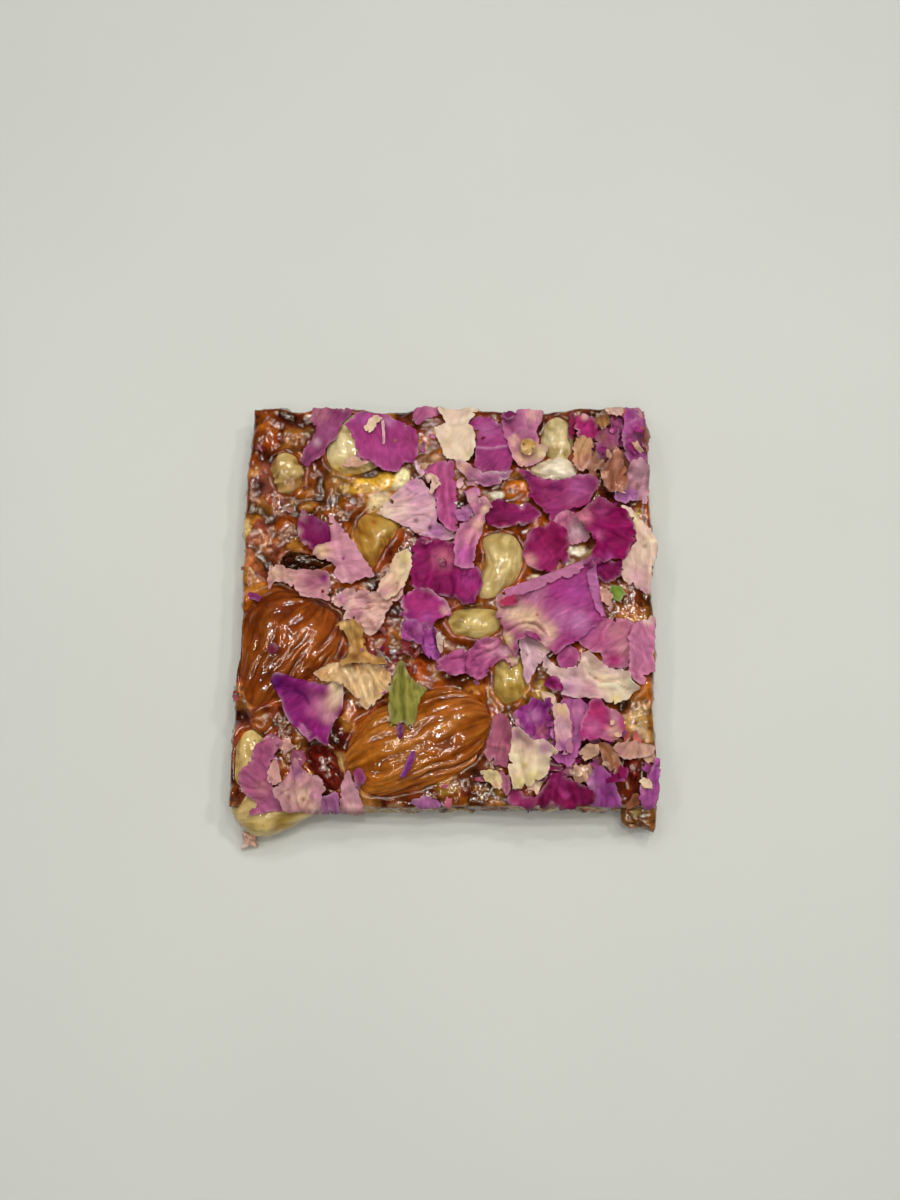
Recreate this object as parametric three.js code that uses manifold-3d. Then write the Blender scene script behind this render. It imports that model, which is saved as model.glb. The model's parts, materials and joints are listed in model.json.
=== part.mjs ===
// A square of mixed-nut brittle: almonds, cashews and dried fruit set in hard caramel, cut from a
// sheet and strewn with dried rose petals. Millimetres, +X to the right, +Y away from the viewer,
// +Z up. The square lies on its flat underside, and its origin is under the middle of its box.
import * as THREE from "three";
import { mergeVertices } from "three/addons/utils/BufferGeometryUtils.js";
import Module from "manifold-3d";

const wasm = await Module();
wasm.setup();

// ---- Driving dimensions ----
const slabWidth = 57.0;          // across, along X
const slabDepth = 57.2;          // away from the viewer, along Y
const slabHeight = 6.3;          // mean height of the caramel's top
const slabCentreX = -0.4;
const slabCentreY = 0.0;
const topRelief = 0.55;          // how far the top rises and dips over what lies in it
const edgeWander = 0.32;         // how far a cut edge strays from its line
const sideBulge = 0.25;          // how far the broken side stands in or out between top and foot
const leftLean = 0.5;            // the left edge runs out by this much at its near end
const slabCells = 20;            // cells across the top of the slab
const sideLevels = [0.7, 0.35, 0.0];  // rows of points down the side, as a share of the height
const edgePhases = { left: 0.7, right: 2.9, near: 4.1, far: 5.6 };  // where each edge's waves start
const edgeWaves = [              // waves of a cut edge: share of the wander, radians per mm, shift
  { share: 0.6, rate: 0.31, shift: 1.0 },
  { share: 0.4, rate: 0.83, shift: 2.3 },
];
const reliefWaves = [            // waves of the top: share of the relief, radians per mm, phase
  { share: 0.3, x: 0.42, y: 0.37, phase: 0.5 },
  { share: 0.3, x: 0.42, y: -0.37, phase: 1.3 },
  { share: 0.24, x: 0.95, y: -0.55, phase: 1.7 },
  { share: 0.16, x: 0.7, y: 1.1, phase: 0.0 },
];
const bulgeRound = 1.3;          // radians of the side's bulges from one point of the rim to the next
const bulgeDown = 9.0;           // and from the rim to the foot

const gap = 0.3;                 // clear space between pieces that touch
const petalThickness = 0.4;      // a dried petal
const petalRings = [0.5, 1.0];   // rings of points from the middle of a petal to its rim
const petalSpokes = 12;          // points round each ring
const petalReach = 1.5;          // a petal clears everything within this distance of each point
const smoothingRounds = 2;       // a petal bridges small dips under it
const outlineRuffle = 0.06;      // how far a petal's outline waves, as a share of its size
const outlineWaves = 5;          // waves round the outline
const rimRuffle = 0.6;           // how much of a rim's rise comes and goes round the rim
const rimWaves = 3;              // waves of that rise round the rim
const cleftHalfAngle = 0.35;     // half the width of the cleft at the tip, in radians
const heightStep = 0.5;          // spacing of the height map that the petals are laid on
const heightHalfSpan = 36;       // half the side of that map
const almondSegments = 16;       // points round an almond
const almondRings = 8;           // rows of points from one end of an almond to the other
const nutSegments = 10;          // points round a smaller nut or berry
const nutRings = 6;              // rows of points from one end of it to the other
const longNut = 15;              // a nut longer than this is meshed as an almond
const weldDistance = 1e-4;       // points closer than this are one point
const leastArea = 1e-6;          // a triangle smaller than this in plan is left out of the height map

// ---- Colours of the pieces ----
const colours = {
  caramel: 0x8f5a24,
  almond: 0x9a5122,
  nut: 0xcbb67c,
  paleNut: 0xe2d8c2,
  goldenNut: 0xbd963e,
  raisin: 0x2e1710,
  cranberry: 0x5e1512,
  orchid: 0xa14a90,
  plum: 0x7f1a5e,
  lilac: 0xc18cb0,
  blush: 0xd8b2aa,
  cream: 0xe0ccac,
  leaf: 0x8b9a54,
  papery: 0xc0975a,
};

// ---- Nuts and fruit, each half sunk in the caramel ----
// x, y, z: middle. taper: narrower towards one end. bend: how far the middle bows sideways.
const nuts = [
  { name: "almond_front", x: -4.5, y: -18.9, z: 4.9, length: 23.6, width: 13.6, height: 8.0, turn: 19,
    taper: -0.14, bend: 0, colour: "almond" },
  { name: "almond_left", x: -22.6, y: -6.4, z: 4.8, length: 22.5, width: 13.6, height: 7.6, turn: 57,
    taper: 0.12, bend: 0, colour: "almond", cutByEdge: true },
  { name: "cashew_centre", x: 7.2, y: 5.0, z: 5.5, length: 11.4, width: 5.8, height: 5.4, turn: 73,
    taper: 0.08, bend: -0.9, colour: "nut" },
  { name: "cashew_middle", x: 2.8, y: -3.6, z: 5.3, length: 7.0, width: 4.6, height: 4.6, turn: 4,
    taper: 0.1, bend: 0.4, colour: "nut" },
  { name: "cashew_lower", x: 8.4, y: -11.6, z: 5.2, length: 8.2, width: 5.2, height: 5.0, turn: 116,
    taper: 0.1, bend: 0.6, colour: "nut" },
  { name: "cashew_far_left", x: -15.8, y: 21.8, z: 5.2, length: 11.6, width: 6.2, height: 5.0, turn: 115,
    taper: 0.1, bend: 0.8, colour: "nut" },
  { name: "nut_far_left", x: -23.4, y: 19.2, z: 5.0, length: 7.6, width: 6.2, height: 5.0, turn: 24,
    taper: 0.15, bend: 0.3, colour: "goldenNut" },
  { name: "nut_golden", x: -9.6, y: 9.2, z: 5.1, length: 10.6, width: 6.8, height: 5.2, turn: 128,
    taper: 0.12, bend: 0.5, colour: "goldenNut" },
  { name: "cashew_far_right", x: 15.9, y: 23.6, z: 5.2, length: 8.8, width: 5.4, height: 5.0, turn: 108,
    taper: 0.1, bend: 0.5, colour: "nut" },
  { name: "nut_white", x: 14.6, y: 19.2, z: 5.2, length: 7.4, width: 4.2, height: 4.6, turn: -14,
    taper: 0.1, bend: 0.2, colour: "paleNut" },
  { name: "nut_corner_left", x: -25.0, y: -28.2, z: 3.9, length: 10.6, width: 6.8, height: 5.6, turn: 12,
    taper: -0.1, bend: 0.4, colour: "nut" },
  { name: "nut_edge_left", x: -27.4, y: -20.2, z: 4.6, length: 8.0, width: 4.6, height: 4.8, turn: 84,
    taper: 0.1, bend: 0.3, colour: "nut", cutByEdge: true },
  { name: "raisin_left", x: -20.2, y: 6.2, z: 5.8, length: 8.0, width: 3.8, height: 3.8, turn: -8,
    taper: 0.1, bend: 0.3, colour: "raisin" },
  { name: "cranberry_front", x: -17.8, y: -23.0, z: 5.6, length: 8.4, width: 5.4, height: 4.2, turn: -52,
    taper: 0.1, bend: 0.4, colour: "cranberry" },
  { name: "cranberry_right", x: 24.4, y: -23.6, z: 5.6, length: 5.2, width: 3.8, height: 3.8, turn: 100,
    taper: 0.1, bend: 0.2, colour: "cranberry" },
  { name: "crumb_corner_right", x: 25.3, y: -29.6, z: 2.6, length: 5.2, width: 3.8, height: 3.0, turn: 2,
    taper: 0.0, bend: 0.2, colour: "almond" },
  { name: "crumb_corner_left", x: -27.3, y: -32.4, z: 1.1, length: 2.8, width: 2.2, height: 2.0, turn: 80,
    taper: 0.1, bend: 0.1, colour: "blush" },
];

// ---- Petals, leaf and papery husk, from the lowest to the one on top ----
// turn: from base to tip. egg: wider towards the tip. notch: cleft in the tip. curl: rise of the rim.
const petals = [
  { name: "petal_far_left", x: -17.2, y: 24.3, length: 10.4, width: 5.6, turn: 62, egg: 0.2, notch: 0,
    curl: 0.3, colour: "orchid" },
  { name: "petal_far_orchid", x: -9.6, y: 23.4, length: 11.0, width: 8.2, turn: 150, egg: -0.1, notch: 0.6,
    curl: 0.5, colour: "orchid" },
  { name: "petal_far_middle", x: 5.8, y: 22.9, length: 9.4, width: 7.4, turn: 102, egg: 0.1, notch: 0.4,
    curl: 0.5, colour: "orchid" },
  { name: "petal_far_cream", x: 0.8, y: 23.4, length: 7.4, width: 6.0, turn: 96, egg: 0.1, notch: 0.3,
    curl: 0.4, colour: "cream" },
  { name: "petal_far_pink", x: 10.4, y: 24.6, length: 8.2, width: 6.0, turn: 60, egg: 0.15, notch: 0.5,
    curl: 0.4, colour: "blush" },
  { name: "petal_far_right", x: 26.4, y: 23.0, length: 8.0, width: 4.2, turn: 92, egg: 0.1, notch: 0,
    curl: 0.5, colour: "orchid" },
  { name: "petal_mauve_fold", x: 4.6, y: 18.3, length: 8.2, width: 2.8, turn: 168, egg: 0, notch: 0,
    curl: 0.5, colour: "lilac" },
  { name: "petal_maroon", x: 9.2, y: 12.7, length: 8.4, width: 3.8, turn: 6, egg: 0.1, notch: 0,
    curl: 0.2, colour: "plum" },
  { name: "petal_upper_plum", x: 15.4, y: 15.4, length: 11.2, width: 6.2, turn: 172, egg: 0.1, notch: 0.5,
    curl: 0.6, colour: "orchid" },
  { name: "petal_magenta_cup", x: 13.6, y: 7.8, length: 7.4, width: 6.6, turn: 60, egg: 0.1, notch: 0.3,
    curl: 0.6, colour: "plum" },
  { name: "petal_blush_right", x: 26.2, y: 7.2, length: 12.6, width: 4.8, turn: 98, egg: -0.2, notch: 0.3,
    curl: 0.6, colour: "blush" },
  { name: "petal_ruffled_plum", x: 21.8, y: 9.8, length: 9.6, width: 7.6, turn: 105, egg: 0.1, notch: 0.7,
    curl: 0.9, colour: "plum" },
  { name: "petal_pale_lilac", x: -5.2, y: 11.8, length: 10.8, width: 7.6, turn: 130, egg: 0.1, notch: 0.4,
    curl: 0.5, colour: "lilac" },
  { name: "petal_middle_magenta", x: -1.0, y: 4.4, length: 9.8, width: 8.2, turn: 80, egg: 0.1, notch: 0.6,
    curl: 0.5, colour: "plum" },
  { name: "petal_ridged", x: -1.3, y: 15.0, length: 11.2, width: 4.4, turn: 94, egg: 0.1, notch: 0,
    curl: 0.4, colour: "orchid" },
  { name: "petal_funnel", x: 2.9, y: 10.2, length: 11.6, width: 4.2, turn: 76, egg: 0.15, notch: 0,
    curl: 0.7, colour: "lilac" },
  { name: "petal_violet", x: -4.2, y: -0.8, length: 7.4, width: 5.6, turn: 28, egg: 0.1, notch: 0.4,
    curl: 0.6, colour: "orchid" },
  { name: "petal_long_ruffle", x: 3.2, y: -8.8, length: 10.8, width: 4.8, turn: 18, egg: 0, notch: 0,
    curl: 0.7, colour: "lilac" },
  { name: "petal_right_rose", x: 21.4, y: -5.6, length: 8.6, width: 6.4, turn: 98, egg: 0.1, notch: 0.4,
    curl: 0.4, colour: "orchid" },
  { name: "petal_right_lilac", x: 26.1, y: -7.2, length: 9.6, width: 4.4, turn: 86, egg: 0.15, notch: 0,
    curl: 0.6, colour: "orchid" },
  { name: "petal_large_tail", x: 10.6, y: -8.0, length: 7.6, width: 4.2, turn: 70, egg: 0.2, notch: 0,
    curl: 0.3, colour: "blush" },
  { name: "petal_large_orchid", x: 14.0, y: -0.9, length: 15.4, width: 10.4, turn: 24, egg: 0.15, notch: 0.4,
    curl: 1.0, colour: "orchid" },
  { name: "petal_cream_star", x: 18.9, y: -10.9, length: 14.2, width: 5.6, turn: 172, egg: -0.15, notch: 0.6,
    curl: 1.0, colour: "cream" },
  { name: "petal_near_mauve", x: 6.8, y: -19.5, length: 7.6, width: 3.8, turn: 80, egg: 0.1, notch: 0,
    curl: 0.4, colour: "orchid" },
  { name: "petal_near_edge", x: 15.0, y: -26.0, length: 8.4, width: 4.8, turn: 166, egg: 0, notch: 0.3,
    curl: 0.4, colour: "plum" },
  { name: "petal_near_strip", x: 15.0, y: -17.9, length: 7.4, width: 3.0, turn: 86, egg: 0, notch: 0,
    curl: 0.5, colour: "blush" },
  { name: "petal_near_cream", x: 10.9, y: -22.2, length: 8.8, width: 6.0, turn: 112, egg: -0.1, notch: 0.4,
    curl: 0.8, colour: "cream" },
  { name: "petal_near_magenta", x: 20.6, y: -17.4, length: 6.8, width: 6.2, turn: 60, egg: 0.1, notch: 0.3,
    curl: 0.6, colour: "plum" },
  { name: "petal_corner_right", x: 26.5, y: -25.2, length: 7.2, width: 3.0, turn: 84, egg: 0.1, notch: 0,
    curl: 0.4, colour: "orchid" },
  { name: "petal_corner_lilac", x: -25.2, y: -24.6, length: 10.0, width: 5.6, turn: 60, egg: 0, notch: 0.3,
    curl: 0.5, colour: "lilac" },
  { name: "petal_corner_blush", x: -20.0, y: -26.4, length: 7.4, width: 6.4, turn: 40, egg: 0.1, notch: 0.3,
    curl: 0.5, colour: "blush" },
  { name: "petal_left_pink", x: -21.0, y: 2.6, length: 9.2, width: 4.2, turn: 170, egg: -0.1, notch: 0.4,
    curl: 0.5, colour: "blush" },
  { name: "petal_fan", x: -15.6, y: 6.4, length: 10.4, width: 5.2, turn: 130, egg: -0.2, notch: 0.3,
    curl: 0.7, colour: "lilac" },
  { name: "petal_left_mauve", x: -11.4, y: -1.8, length: 10.2, width: 5.6, turn: 12, egg: 0, notch: 0.6,
    curl: 0.6, colour: "blush" },
  { name: "petal_cream_upright", x: -7.6, y: 3.6, length: 7.6, width: 3.6, turn: 60, egg: 0.1, notch: 0,
    curl: 0.7, colour: "cream" },
  { name: "petal_deep_purple", x: -19.6, y: -15.4, length: 10.6, width: 9.0, turn: 35, egg: -0.05, notch: 0.5,
    curl: 1.1, colour: "plum" },
  { name: "husk_papery", x: -12.8, y: -10.6, length: 10.2, width: 6.0, turn: 150, egg: 0.1, notch: 0.3,
    curl: 0.5, colour: "papery" },
  { name: "husk_curl", x: -13.4, y: -6.2, length: 6.6, width: 3.0, turn: 112, egg: 0, notch: 0,
    curl: 1.0, colour: "papery" },
  { name: "leaf_green", x: -6.1, y: -13.6, length: 9.6, width: 4.6, turn: 80, egg: 0, notch: 0.3,
    curl: 0.4, colour: "leaf" },
];

// ---- Helpers ----
function solidOf(geometry) {
  const bare = geometry.clone();
  bare.deleteAttribute("normal");
  bare.deleteAttribute("uv");
  const merged = mergeVertices(bare, weldDistance);
  return new wasm.Manifold(new wasm.Mesh({
    numProp: 3,
    vertProperties: new Float32Array(merged.attributes.position.array),
    triVerts: new Uint32Array(merged.index.array),
  }));
}

function geometryOf(solid) {
  const mesh = solid.getMesh();
  const geometry = new THREE.BufferGeometry();
  geometry.setAttribute("position", new THREE.BufferAttribute(new Float32Array(mesh.vertProperties), 3));
  geometry.setIndex(new THREE.BufferAttribute(new Uint32Array(mesh.triVerts), 1));
  return geometry;
}

// A cut can leave a loose sliver at a sharp edge. The piece itself is the largest part.
function largestPart(solid) {
  const parts = solid.decompose();
  parts.sort((a, b) => b.volume() - a.volume());
  return parts[0];
}

function geometryFrom(points, triangles) {
  const geometry = new THREE.BufferGeometry();
  geometry.setAttribute("position", new THREE.Float32BufferAttribute(points.flat(), 3));
  geometry.setIndex(triangles.flat());
  return geometry;
}

// ---- The slab ----
function wander(along, phase) {
  let sum = 0;
  for (const wave of edgeWaves) sum += wave.share * Math.sin(wave.rate * along + wave.shift * phase);
  return edgeWander * sum;
}

function slabTop(x, y) {
  let sum = 0;
  for (const wave of reliefWaves) sum += wave.share * Math.sin(wave.x * x + wave.y * y + wave.phase);
  return slabHeight + topRelief * sum;
}

// A point of the square from its shares across and away, with the wandering edges blended in.
function slabPoint(across, away) {
  const lineX = (across - 0.5) * slabWidth;
  const lineY = (away - 0.5) * slabDepth;
  const lean = leftLean * (away - 0.5);
  const leftShift = wander(lineY, edgePhases.left) + lean;
  const shiftX = (1 - across) * leftShift + across * wander(lineY, edgePhases.right);
  const shiftY = (1 - away) * wander(lineX, edgePhases.near) + away * wander(lineX, edgePhases.far);
  return [slabCentreX + lineX + shiftX, slabCentreY + lineY + shiftY];
}

// A closed block over the square: a top of cells, a broken side in levels, and a flat foot.
function blockGeometry(topHeight, bulge, foot) {
  const points = [];
  const triangles = [];
  const row = slabCells + 1;
  for (let j = 0; j <= slabCells; j++) {
    for (let i = 0; i <= slabCells; i++) {
      const [x, y] = slabPoint(i / slabCells, j / slabCells);
      points.push([x, y, topHeight(x, y)]);
    }
  }
  for (let j = 0; j < slabCells; j++) {
    for (let i = 0; i < slabCells; i++) {
      const a = j * row + i;
      triangles.push([a, a + 1, a + row + 1], [a, a + row + 1, a + row]);
    }
  }
  const rim = [];
  for (let i = 0; i < slabCells; i++) rim.push(i);
  for (let j = 0; j < slabCells; j++) rim.push(j * row + slabCells);
  for (let i = slabCells; i > 0; i--) rim.push(slabCells * row + i);
  for (let j = slabCells; j > 0; j--) rim.push(j * row);
  let upper = rim;
  for (const level of sideLevels) {
    const lower = rim.map((index, k) => {
      const [x, y, z] = points[index];
      const fromCentre = Math.hypot(x - slabCentreX, y - slabCentreY);
      const stand = level === 0 ? 0 : bulge * Math.sin(bulgeRound * k + bulgeDown * level);
      const scale = 1 + stand / fromCentre;
      const outX = slabCentreX + (x - slabCentreX) * scale;
      const outY = slabCentreY + (y - slabCentreY) * scale;
      return points.push([outX, outY, foot + (z - foot) * level]) - 1;
    });
    for (let k = 0; k < rim.length; k++) {
      const next = (k + 1) % rim.length;
      triangles.push([upper[k], lower[k], lower[next]], [upper[k], lower[next], upper[next]]);
    }
    upper = lower;
  }
  const outline = upper.map((index) => new THREE.Vector2(points[index][0], points[index][1]));
  for (const [a, b, c] of THREE.ShapeUtils.triangulateShape(outline, [])) {
    triangles.push([upper[a], upper[c], upper[b]]);
  }
  return geometryFrom(points, triangles);
}

// ---- Nuts and fruit ----
// An almond, cashew or berry: a ball drawn out along its length, tapered and bowed.
function nutGeometry(nut, extra) {
  const isLong = nut.length > longNut;
  const segments = isLong ? almondSegments : nutSegments;
  const ball = new THREE.SphereGeometry(1, segments, isLong ? almondRings : nutRings);
  ball.rotateZ(-Math.PI / 2);
  const place = ball.attributes.position;
  for (let i = 0; i < place.count; i++) {
    const along = place.getX(i);
    const girth = 1 + nut.taper * along;
    const bow = nut.bend * (1 - along * along);
    const x = along * (nut.length / 2 + extra);
    const y = place.getY(i) * girth * (nut.width / 2 + extra) + bow;
    const z = place.getZ(i) * girth * (nut.height / 2 + extra);
    place.setXYZ(i, x, y, z);
  }
  ball.rotateZ(THREE.MathUtils.degToRad(nut.turn));
  ball.translate(nut.x, nut.y, nut.z);
  return ball;
}

// ---- The height map that the petals are laid on ----
const heightCells = Math.round((2 * heightHalfSpan) / heightStep) + 1;
const heights = new Float32Array(heightCells * heightCells);

function cellOf(value) {
  return (value + heightHalfSpan) / heightStep;
}

function placeOf(cell) {
  return cell * heightStep - heightHalfSpan;
}

// Past the cut edges the map keeps the height of the top, so a petal runs straight out over an edge.
for (let j = 0; j < heightCells; j++) {
  for (let i = 0; i < heightCells; i++) {
    heights[j * heightCells + i] = slabTop(placeOf(i), placeOf(j));
  }
}

function raiseHeights(geometry) {
  const place = geometry.attributes.position;
  const index = geometry.index;
  const a = new THREE.Vector3();
  const b = new THREE.Vector3();
  const c = new THREE.Vector3();
  for (let t = 0; t < index.count; t += 3) {
    a.fromBufferAttribute(place, index.getX(t));
    b.fromBufferAttribute(place, index.getX(t + 1));
    c.fromBufferAttribute(place, index.getX(t + 2));
    const area = (b.x - a.x) * (c.y - a.y) - (c.x - a.x) * (b.y - a.y);
    if (area < leastArea) continue;
    const firstI = Math.ceil(cellOf(Math.min(a.x, b.x, c.x)));
    const lastI = Math.floor(cellOf(Math.max(a.x, b.x, c.x)));
    const firstJ = Math.ceil(cellOf(Math.min(a.y, b.y, c.y)));
    const lastJ = Math.floor(cellOf(Math.max(a.y, b.y, c.y)));
    for (let j = firstJ; j <= lastJ; j++) {
      for (let i = firstI; i <= lastI; i++) {
        const x = placeOf(i);
        const y = placeOf(j);
        const shareB = ((x - a.x) * (c.y - a.y) - (c.x - a.x) * (y - a.y)) / area;
        const shareC = ((b.x - a.x) * (y - a.y) - (x - a.x) * (b.y - a.y)) / area;
        if (shareB < 0 || shareC < 0 || shareB + shareC > 1) continue;
        const z = a.z + shareB * (b.z - a.z) + shareC * (c.z - a.z);
        const cell = j * heightCells + i;
        heights[cell] = Math.max(heights[cell], z);
      }
    }
  }
}

function highestNear(x, y) {
  const reach = Math.ceil(petalReach / heightStep);
  const middleI = Math.round(cellOf(x));
  const middleJ = Math.round(cellOf(y));
  let highest = 0;
  for (let j = -reach; j <= reach; j++) {
    for (let i = -reach; i <= reach; i++) {
      if (Math.hypot(i, j) * heightStep > petalReach) continue;
      highest = Math.max(highest, heights[(middleJ + j) * heightCells + middleI + i]);
    }
  }
  return highest;
}

// ---- Petals ----
// The outline is an egg, narrow at its base, with a cleft at its tip and a ruffled rim.
function petalOutline(petal, angle) {
  const ruffle = 1 + outlineRuffle * Math.sin(outlineWaves * angle + petal.x);
  const cleft = petal.notch * Math.exp(-((angle / cleftHalfAngle) ** 2));
  const along = (petal.length / 2) * Math.cos(angle) * ruffle - cleft;
  const aside = (petal.width / 2) * Math.sin(angle) * (1 + petal.egg * Math.cos(angle)) * ruffle;
  return [along, aside];
}

// A thin sheet laid on what is below: it clears it, bridges small dips, and its rim curls up.
function petalGeometry(petal) {
  const turn = THREE.MathUtils.degToRad(petal.turn);
  const plan = [[0, 0, 0]];
  for (const ring of petalRings) {
    for (let k = 0; k < petalSpokes; k++) {
      const turned = (2 * Math.PI * k) / petalSpokes;
      const angle = turned > Math.PI ? turned - 2 * Math.PI : turned;
      const [along, aside] = petalOutline(petal, angle);
      const rise = petal.curl * ring ** 3 * (1 + rimRuffle * Math.sin(rimWaves * angle + petal.y));
      plan.push([along * ring, aside * ring, rise]);
    }
  }
  const places = plan.map(([along, aside]) => [
    petal.x + along * Math.cos(turn) - aside * Math.sin(turn),
    petal.y + along * Math.sin(turn) + aside * Math.cos(turn),
  ]);
  const upperSide = [];
  for (let k = 0; k < petalSpokes; k++) {
    const next = (k + 1) % petalSpokes;
    upperSide.push([0, 1 + k, 1 + next]);
    for (let r = 1; r < petalRings.length; r++) {
      const inner = 1 + (r - 1) * petalSpokes;
      const outer = 1 + r * petalSpokes;
      upperSide.push([inner + k, outer + k, outer + next], [inner + k, outer + next, inner + next]);
    }
  }
  let under = places.map(([x, y], k) => highestNear(x, y) + gap + plan[k][2]);
  const neighbours = places.map(() => new Set());
  for (const triangle of upperSide) {
    for (const corner of triangle) {
      for (const other of triangle) neighbours[corner].add(other);
    }
  }
  for (let round = 0; round < smoothingRounds; round++) {
    under = under.map((z, k) => {
      const around = [...neighbours[k]].map((other) => under[other]);
      const mean = around.reduce((sum, value) => sum + value, 0) / around.length;
      return Math.max(z, mean);
    });
  }
  const count = places.length;
  const points = [];
  places.forEach(([x, y], k) => points.push([x, y, under[k] + petalThickness]));
  places.forEach(([x, y], k) => points.push([x, y, under[k]]));
  const triangles = [...upperSide];
  for (const [a, b, c] of upperSide) triangles.push([a + count, c + count, b + count]);
  const rim = 1 + (petalRings.length - 1) * petalSpokes;
  for (let k = 0; k < petalSpokes; k++) {
    const a = rim + k;
    const b = rim + ((k + 1) % petalSpokes);
    triangles.push([a, a + count, b + count], [a, b + count, b]);
  }
  return geometryFrom(points, triangles);
}

// ---- Assembly ----
const brittle = new THREE.Group();

function addPiece(name, geometry, colour, roughness) {
  const shown = geometry.index ? geometry : mergeVertices(geometry);
  shown.computeVertexNormals();
  const material = new THREE.MeshStandardMaterial({ color: colour, roughness, metalness: 0 });
  const mesh = new THREE.Mesh(shown, material);
  mesh.name = name;
  brittle.add(mesh);
}

// What a nut is trimmed to at the cut edges: the square's outline, above and below the slab.
const cutBlock = solidOf(blockGeometry(() => 2 * slabHeight, 0, 0));
let slab = solidOf(blockGeometry(slabTop, sideBulge, 0));
const seats = [];
for (const nut of nuts) {
  let solid = solidOf(nutGeometry(nut, 0));
  if (nut.cutByEdge) solid = solid.intersect(cutBlock);
  for (const seat of seats) solid = solid.subtract(seat);
  const seat = solidOf(nutGeometry(nut, gap));
  slab = slab.subtract(seat);
  seats.push(seat);
  const geometry = geometryOf(largestPart(solid));
  raiseHeights(geometry);
  addPiece(nut.name, geometry, colours[nut.colour], 0.3);
}
addPiece("brittle_slab", geometryOf(largestPart(slab)), colours.caramel, 0.2);

for (const petal of petals) {
  const geometry = petalGeometry(petal);
  raiseHeights(geometry);
  addPiece(petal.name, geometry, colours[petal.colour], 0.7);
}

// The origin goes under the middle of the whole, on the surface that it lies on.
const box = new THREE.Box3().setFromObject(brittle);
const middle = box.getCenter(new THREE.Vector3());
brittle.position.set(-middle.x, -middle.y, -box.min.z);

export default brittle;
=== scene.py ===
import bpy
import json
import math
import numpy as np
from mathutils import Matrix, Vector, noise

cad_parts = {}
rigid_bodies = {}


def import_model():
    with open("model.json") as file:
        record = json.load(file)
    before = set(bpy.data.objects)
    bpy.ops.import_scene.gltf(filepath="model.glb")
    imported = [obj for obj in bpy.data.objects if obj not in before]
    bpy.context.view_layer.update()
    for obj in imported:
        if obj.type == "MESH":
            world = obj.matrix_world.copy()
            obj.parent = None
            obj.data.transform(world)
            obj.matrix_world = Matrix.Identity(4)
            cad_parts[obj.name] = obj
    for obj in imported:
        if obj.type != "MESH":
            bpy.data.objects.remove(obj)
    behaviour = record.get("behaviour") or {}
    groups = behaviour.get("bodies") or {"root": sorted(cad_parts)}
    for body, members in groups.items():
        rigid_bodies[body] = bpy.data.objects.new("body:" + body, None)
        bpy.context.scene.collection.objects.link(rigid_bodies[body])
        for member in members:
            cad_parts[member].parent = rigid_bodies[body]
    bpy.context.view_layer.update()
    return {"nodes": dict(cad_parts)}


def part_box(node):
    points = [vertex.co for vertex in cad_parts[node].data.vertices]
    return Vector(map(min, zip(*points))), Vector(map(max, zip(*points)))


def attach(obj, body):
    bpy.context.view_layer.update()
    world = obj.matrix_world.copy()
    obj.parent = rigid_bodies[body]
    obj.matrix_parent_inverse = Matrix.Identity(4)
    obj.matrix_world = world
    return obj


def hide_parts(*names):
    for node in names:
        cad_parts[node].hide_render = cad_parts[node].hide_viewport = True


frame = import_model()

randomness = np.random.default_rng(41)
mm = 0.001
print("frame loaded")

# The photo is 900 x 1200. Places on the piece are given as its pixels and turned into mm here.
view = {
    "width": 900,
    "height": 1200,
    "focal": 1280.0,       # focal length in pixels
    "tilt": 14.5,          # degrees off straight down
    "squareTall": 404.0,   # the square's height in pixels
    "squareDeep": 58.0,    # and in mm
    "aimHeight": 7.5,      # height of the point that the photo's middle shows
    "aimRight": 0.44,      # and how far right of the slab's middle it is
}
slabLow, slabHigh = (np.array(corner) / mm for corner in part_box("brittle_slab"))
slabMiddle = (slabLow + slabHigh) / 2
tilt = math.radians(view["tilt"])
viewDistance = view["squareDeep"] * math.cos(tilt) * view["focal"] / view["squareTall"]
aim = np.array([slabMiddle[0] + view["aimRight"], slabMiddle[1], view["aimHeight"]])
viewForward = np.array([0.0, math.sin(tilt), -math.cos(tilt)])
viewUp = np.array([0.0, math.cos(tilt), math.sin(tilt)])
viewEye = aim - viewForward * viewDistance
pixel = view["squareDeep"] / view["squareTall"]   # mm to a pixel


# An outline is written as text, the photo's pixels in order: "x,y x,y".
def pixelsOf(outline):
    return [tuple(float(part) for part in point.split(",")) for point in outline.split()]


# Where a pixel of the photo lies on the piece, in mm, at a height in mm; and back again.
def fromPhoto(points, height):
    points = np.atleast_2d(np.array(points, float))
    right = (points[:, 0] - view["width"] / 2) / view["focal"]
    down = (points[:, 1] - view["height"] / 2) / view["focal"]
    rays = viewForward + right[:, None] * np.array([1.0, 0, 0]) - down[:, None] * viewUp
    reach = (np.asarray(height) - viewEye[2]) / rays[:, 2]
    return (viewEye + rays * reach[:, None])[:, :2]


def toPhoto(places):
    seen = places - viewEye
    depth = seen @ viewForward
    right = view["width"] / 2 + view["focal"] * seen[:, 0] / depth
    down = view["height"] / 2 - view["focal"] * (seen @ viewUp) / depth
    return np.stack([right, down], 1)


camera = bpy.data.objects.new("camera", bpy.data.cameras.new("camera"))
bpy.context.scene.collection.objects.link(camera)
camera.location = Vector(viewEye * mm)
camera.rotation_euler = (tilt, 0, 0)
camera.data.sensor_width = 36
camera.data.lens = 36 * view["focal"] / view["height"]
camera.data.clip_start = 0.01
bpy.context.scene.camera = camera


def hexLinear(code):
    parts = np.array([int(code[i:i + 2], 16) / 255 for i in (1, 3, 5)])
    return np.where(parts <= 0.04045, parts / 12.92, ((parts + 0.055) / 1.055) ** 2.4)


# Draws a linear colour over the points' tint, by a share from 0 to 1 for each point.
def mixed(tint, colour, share):
    return tint + (colour - tint) * share[:, None]


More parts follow.
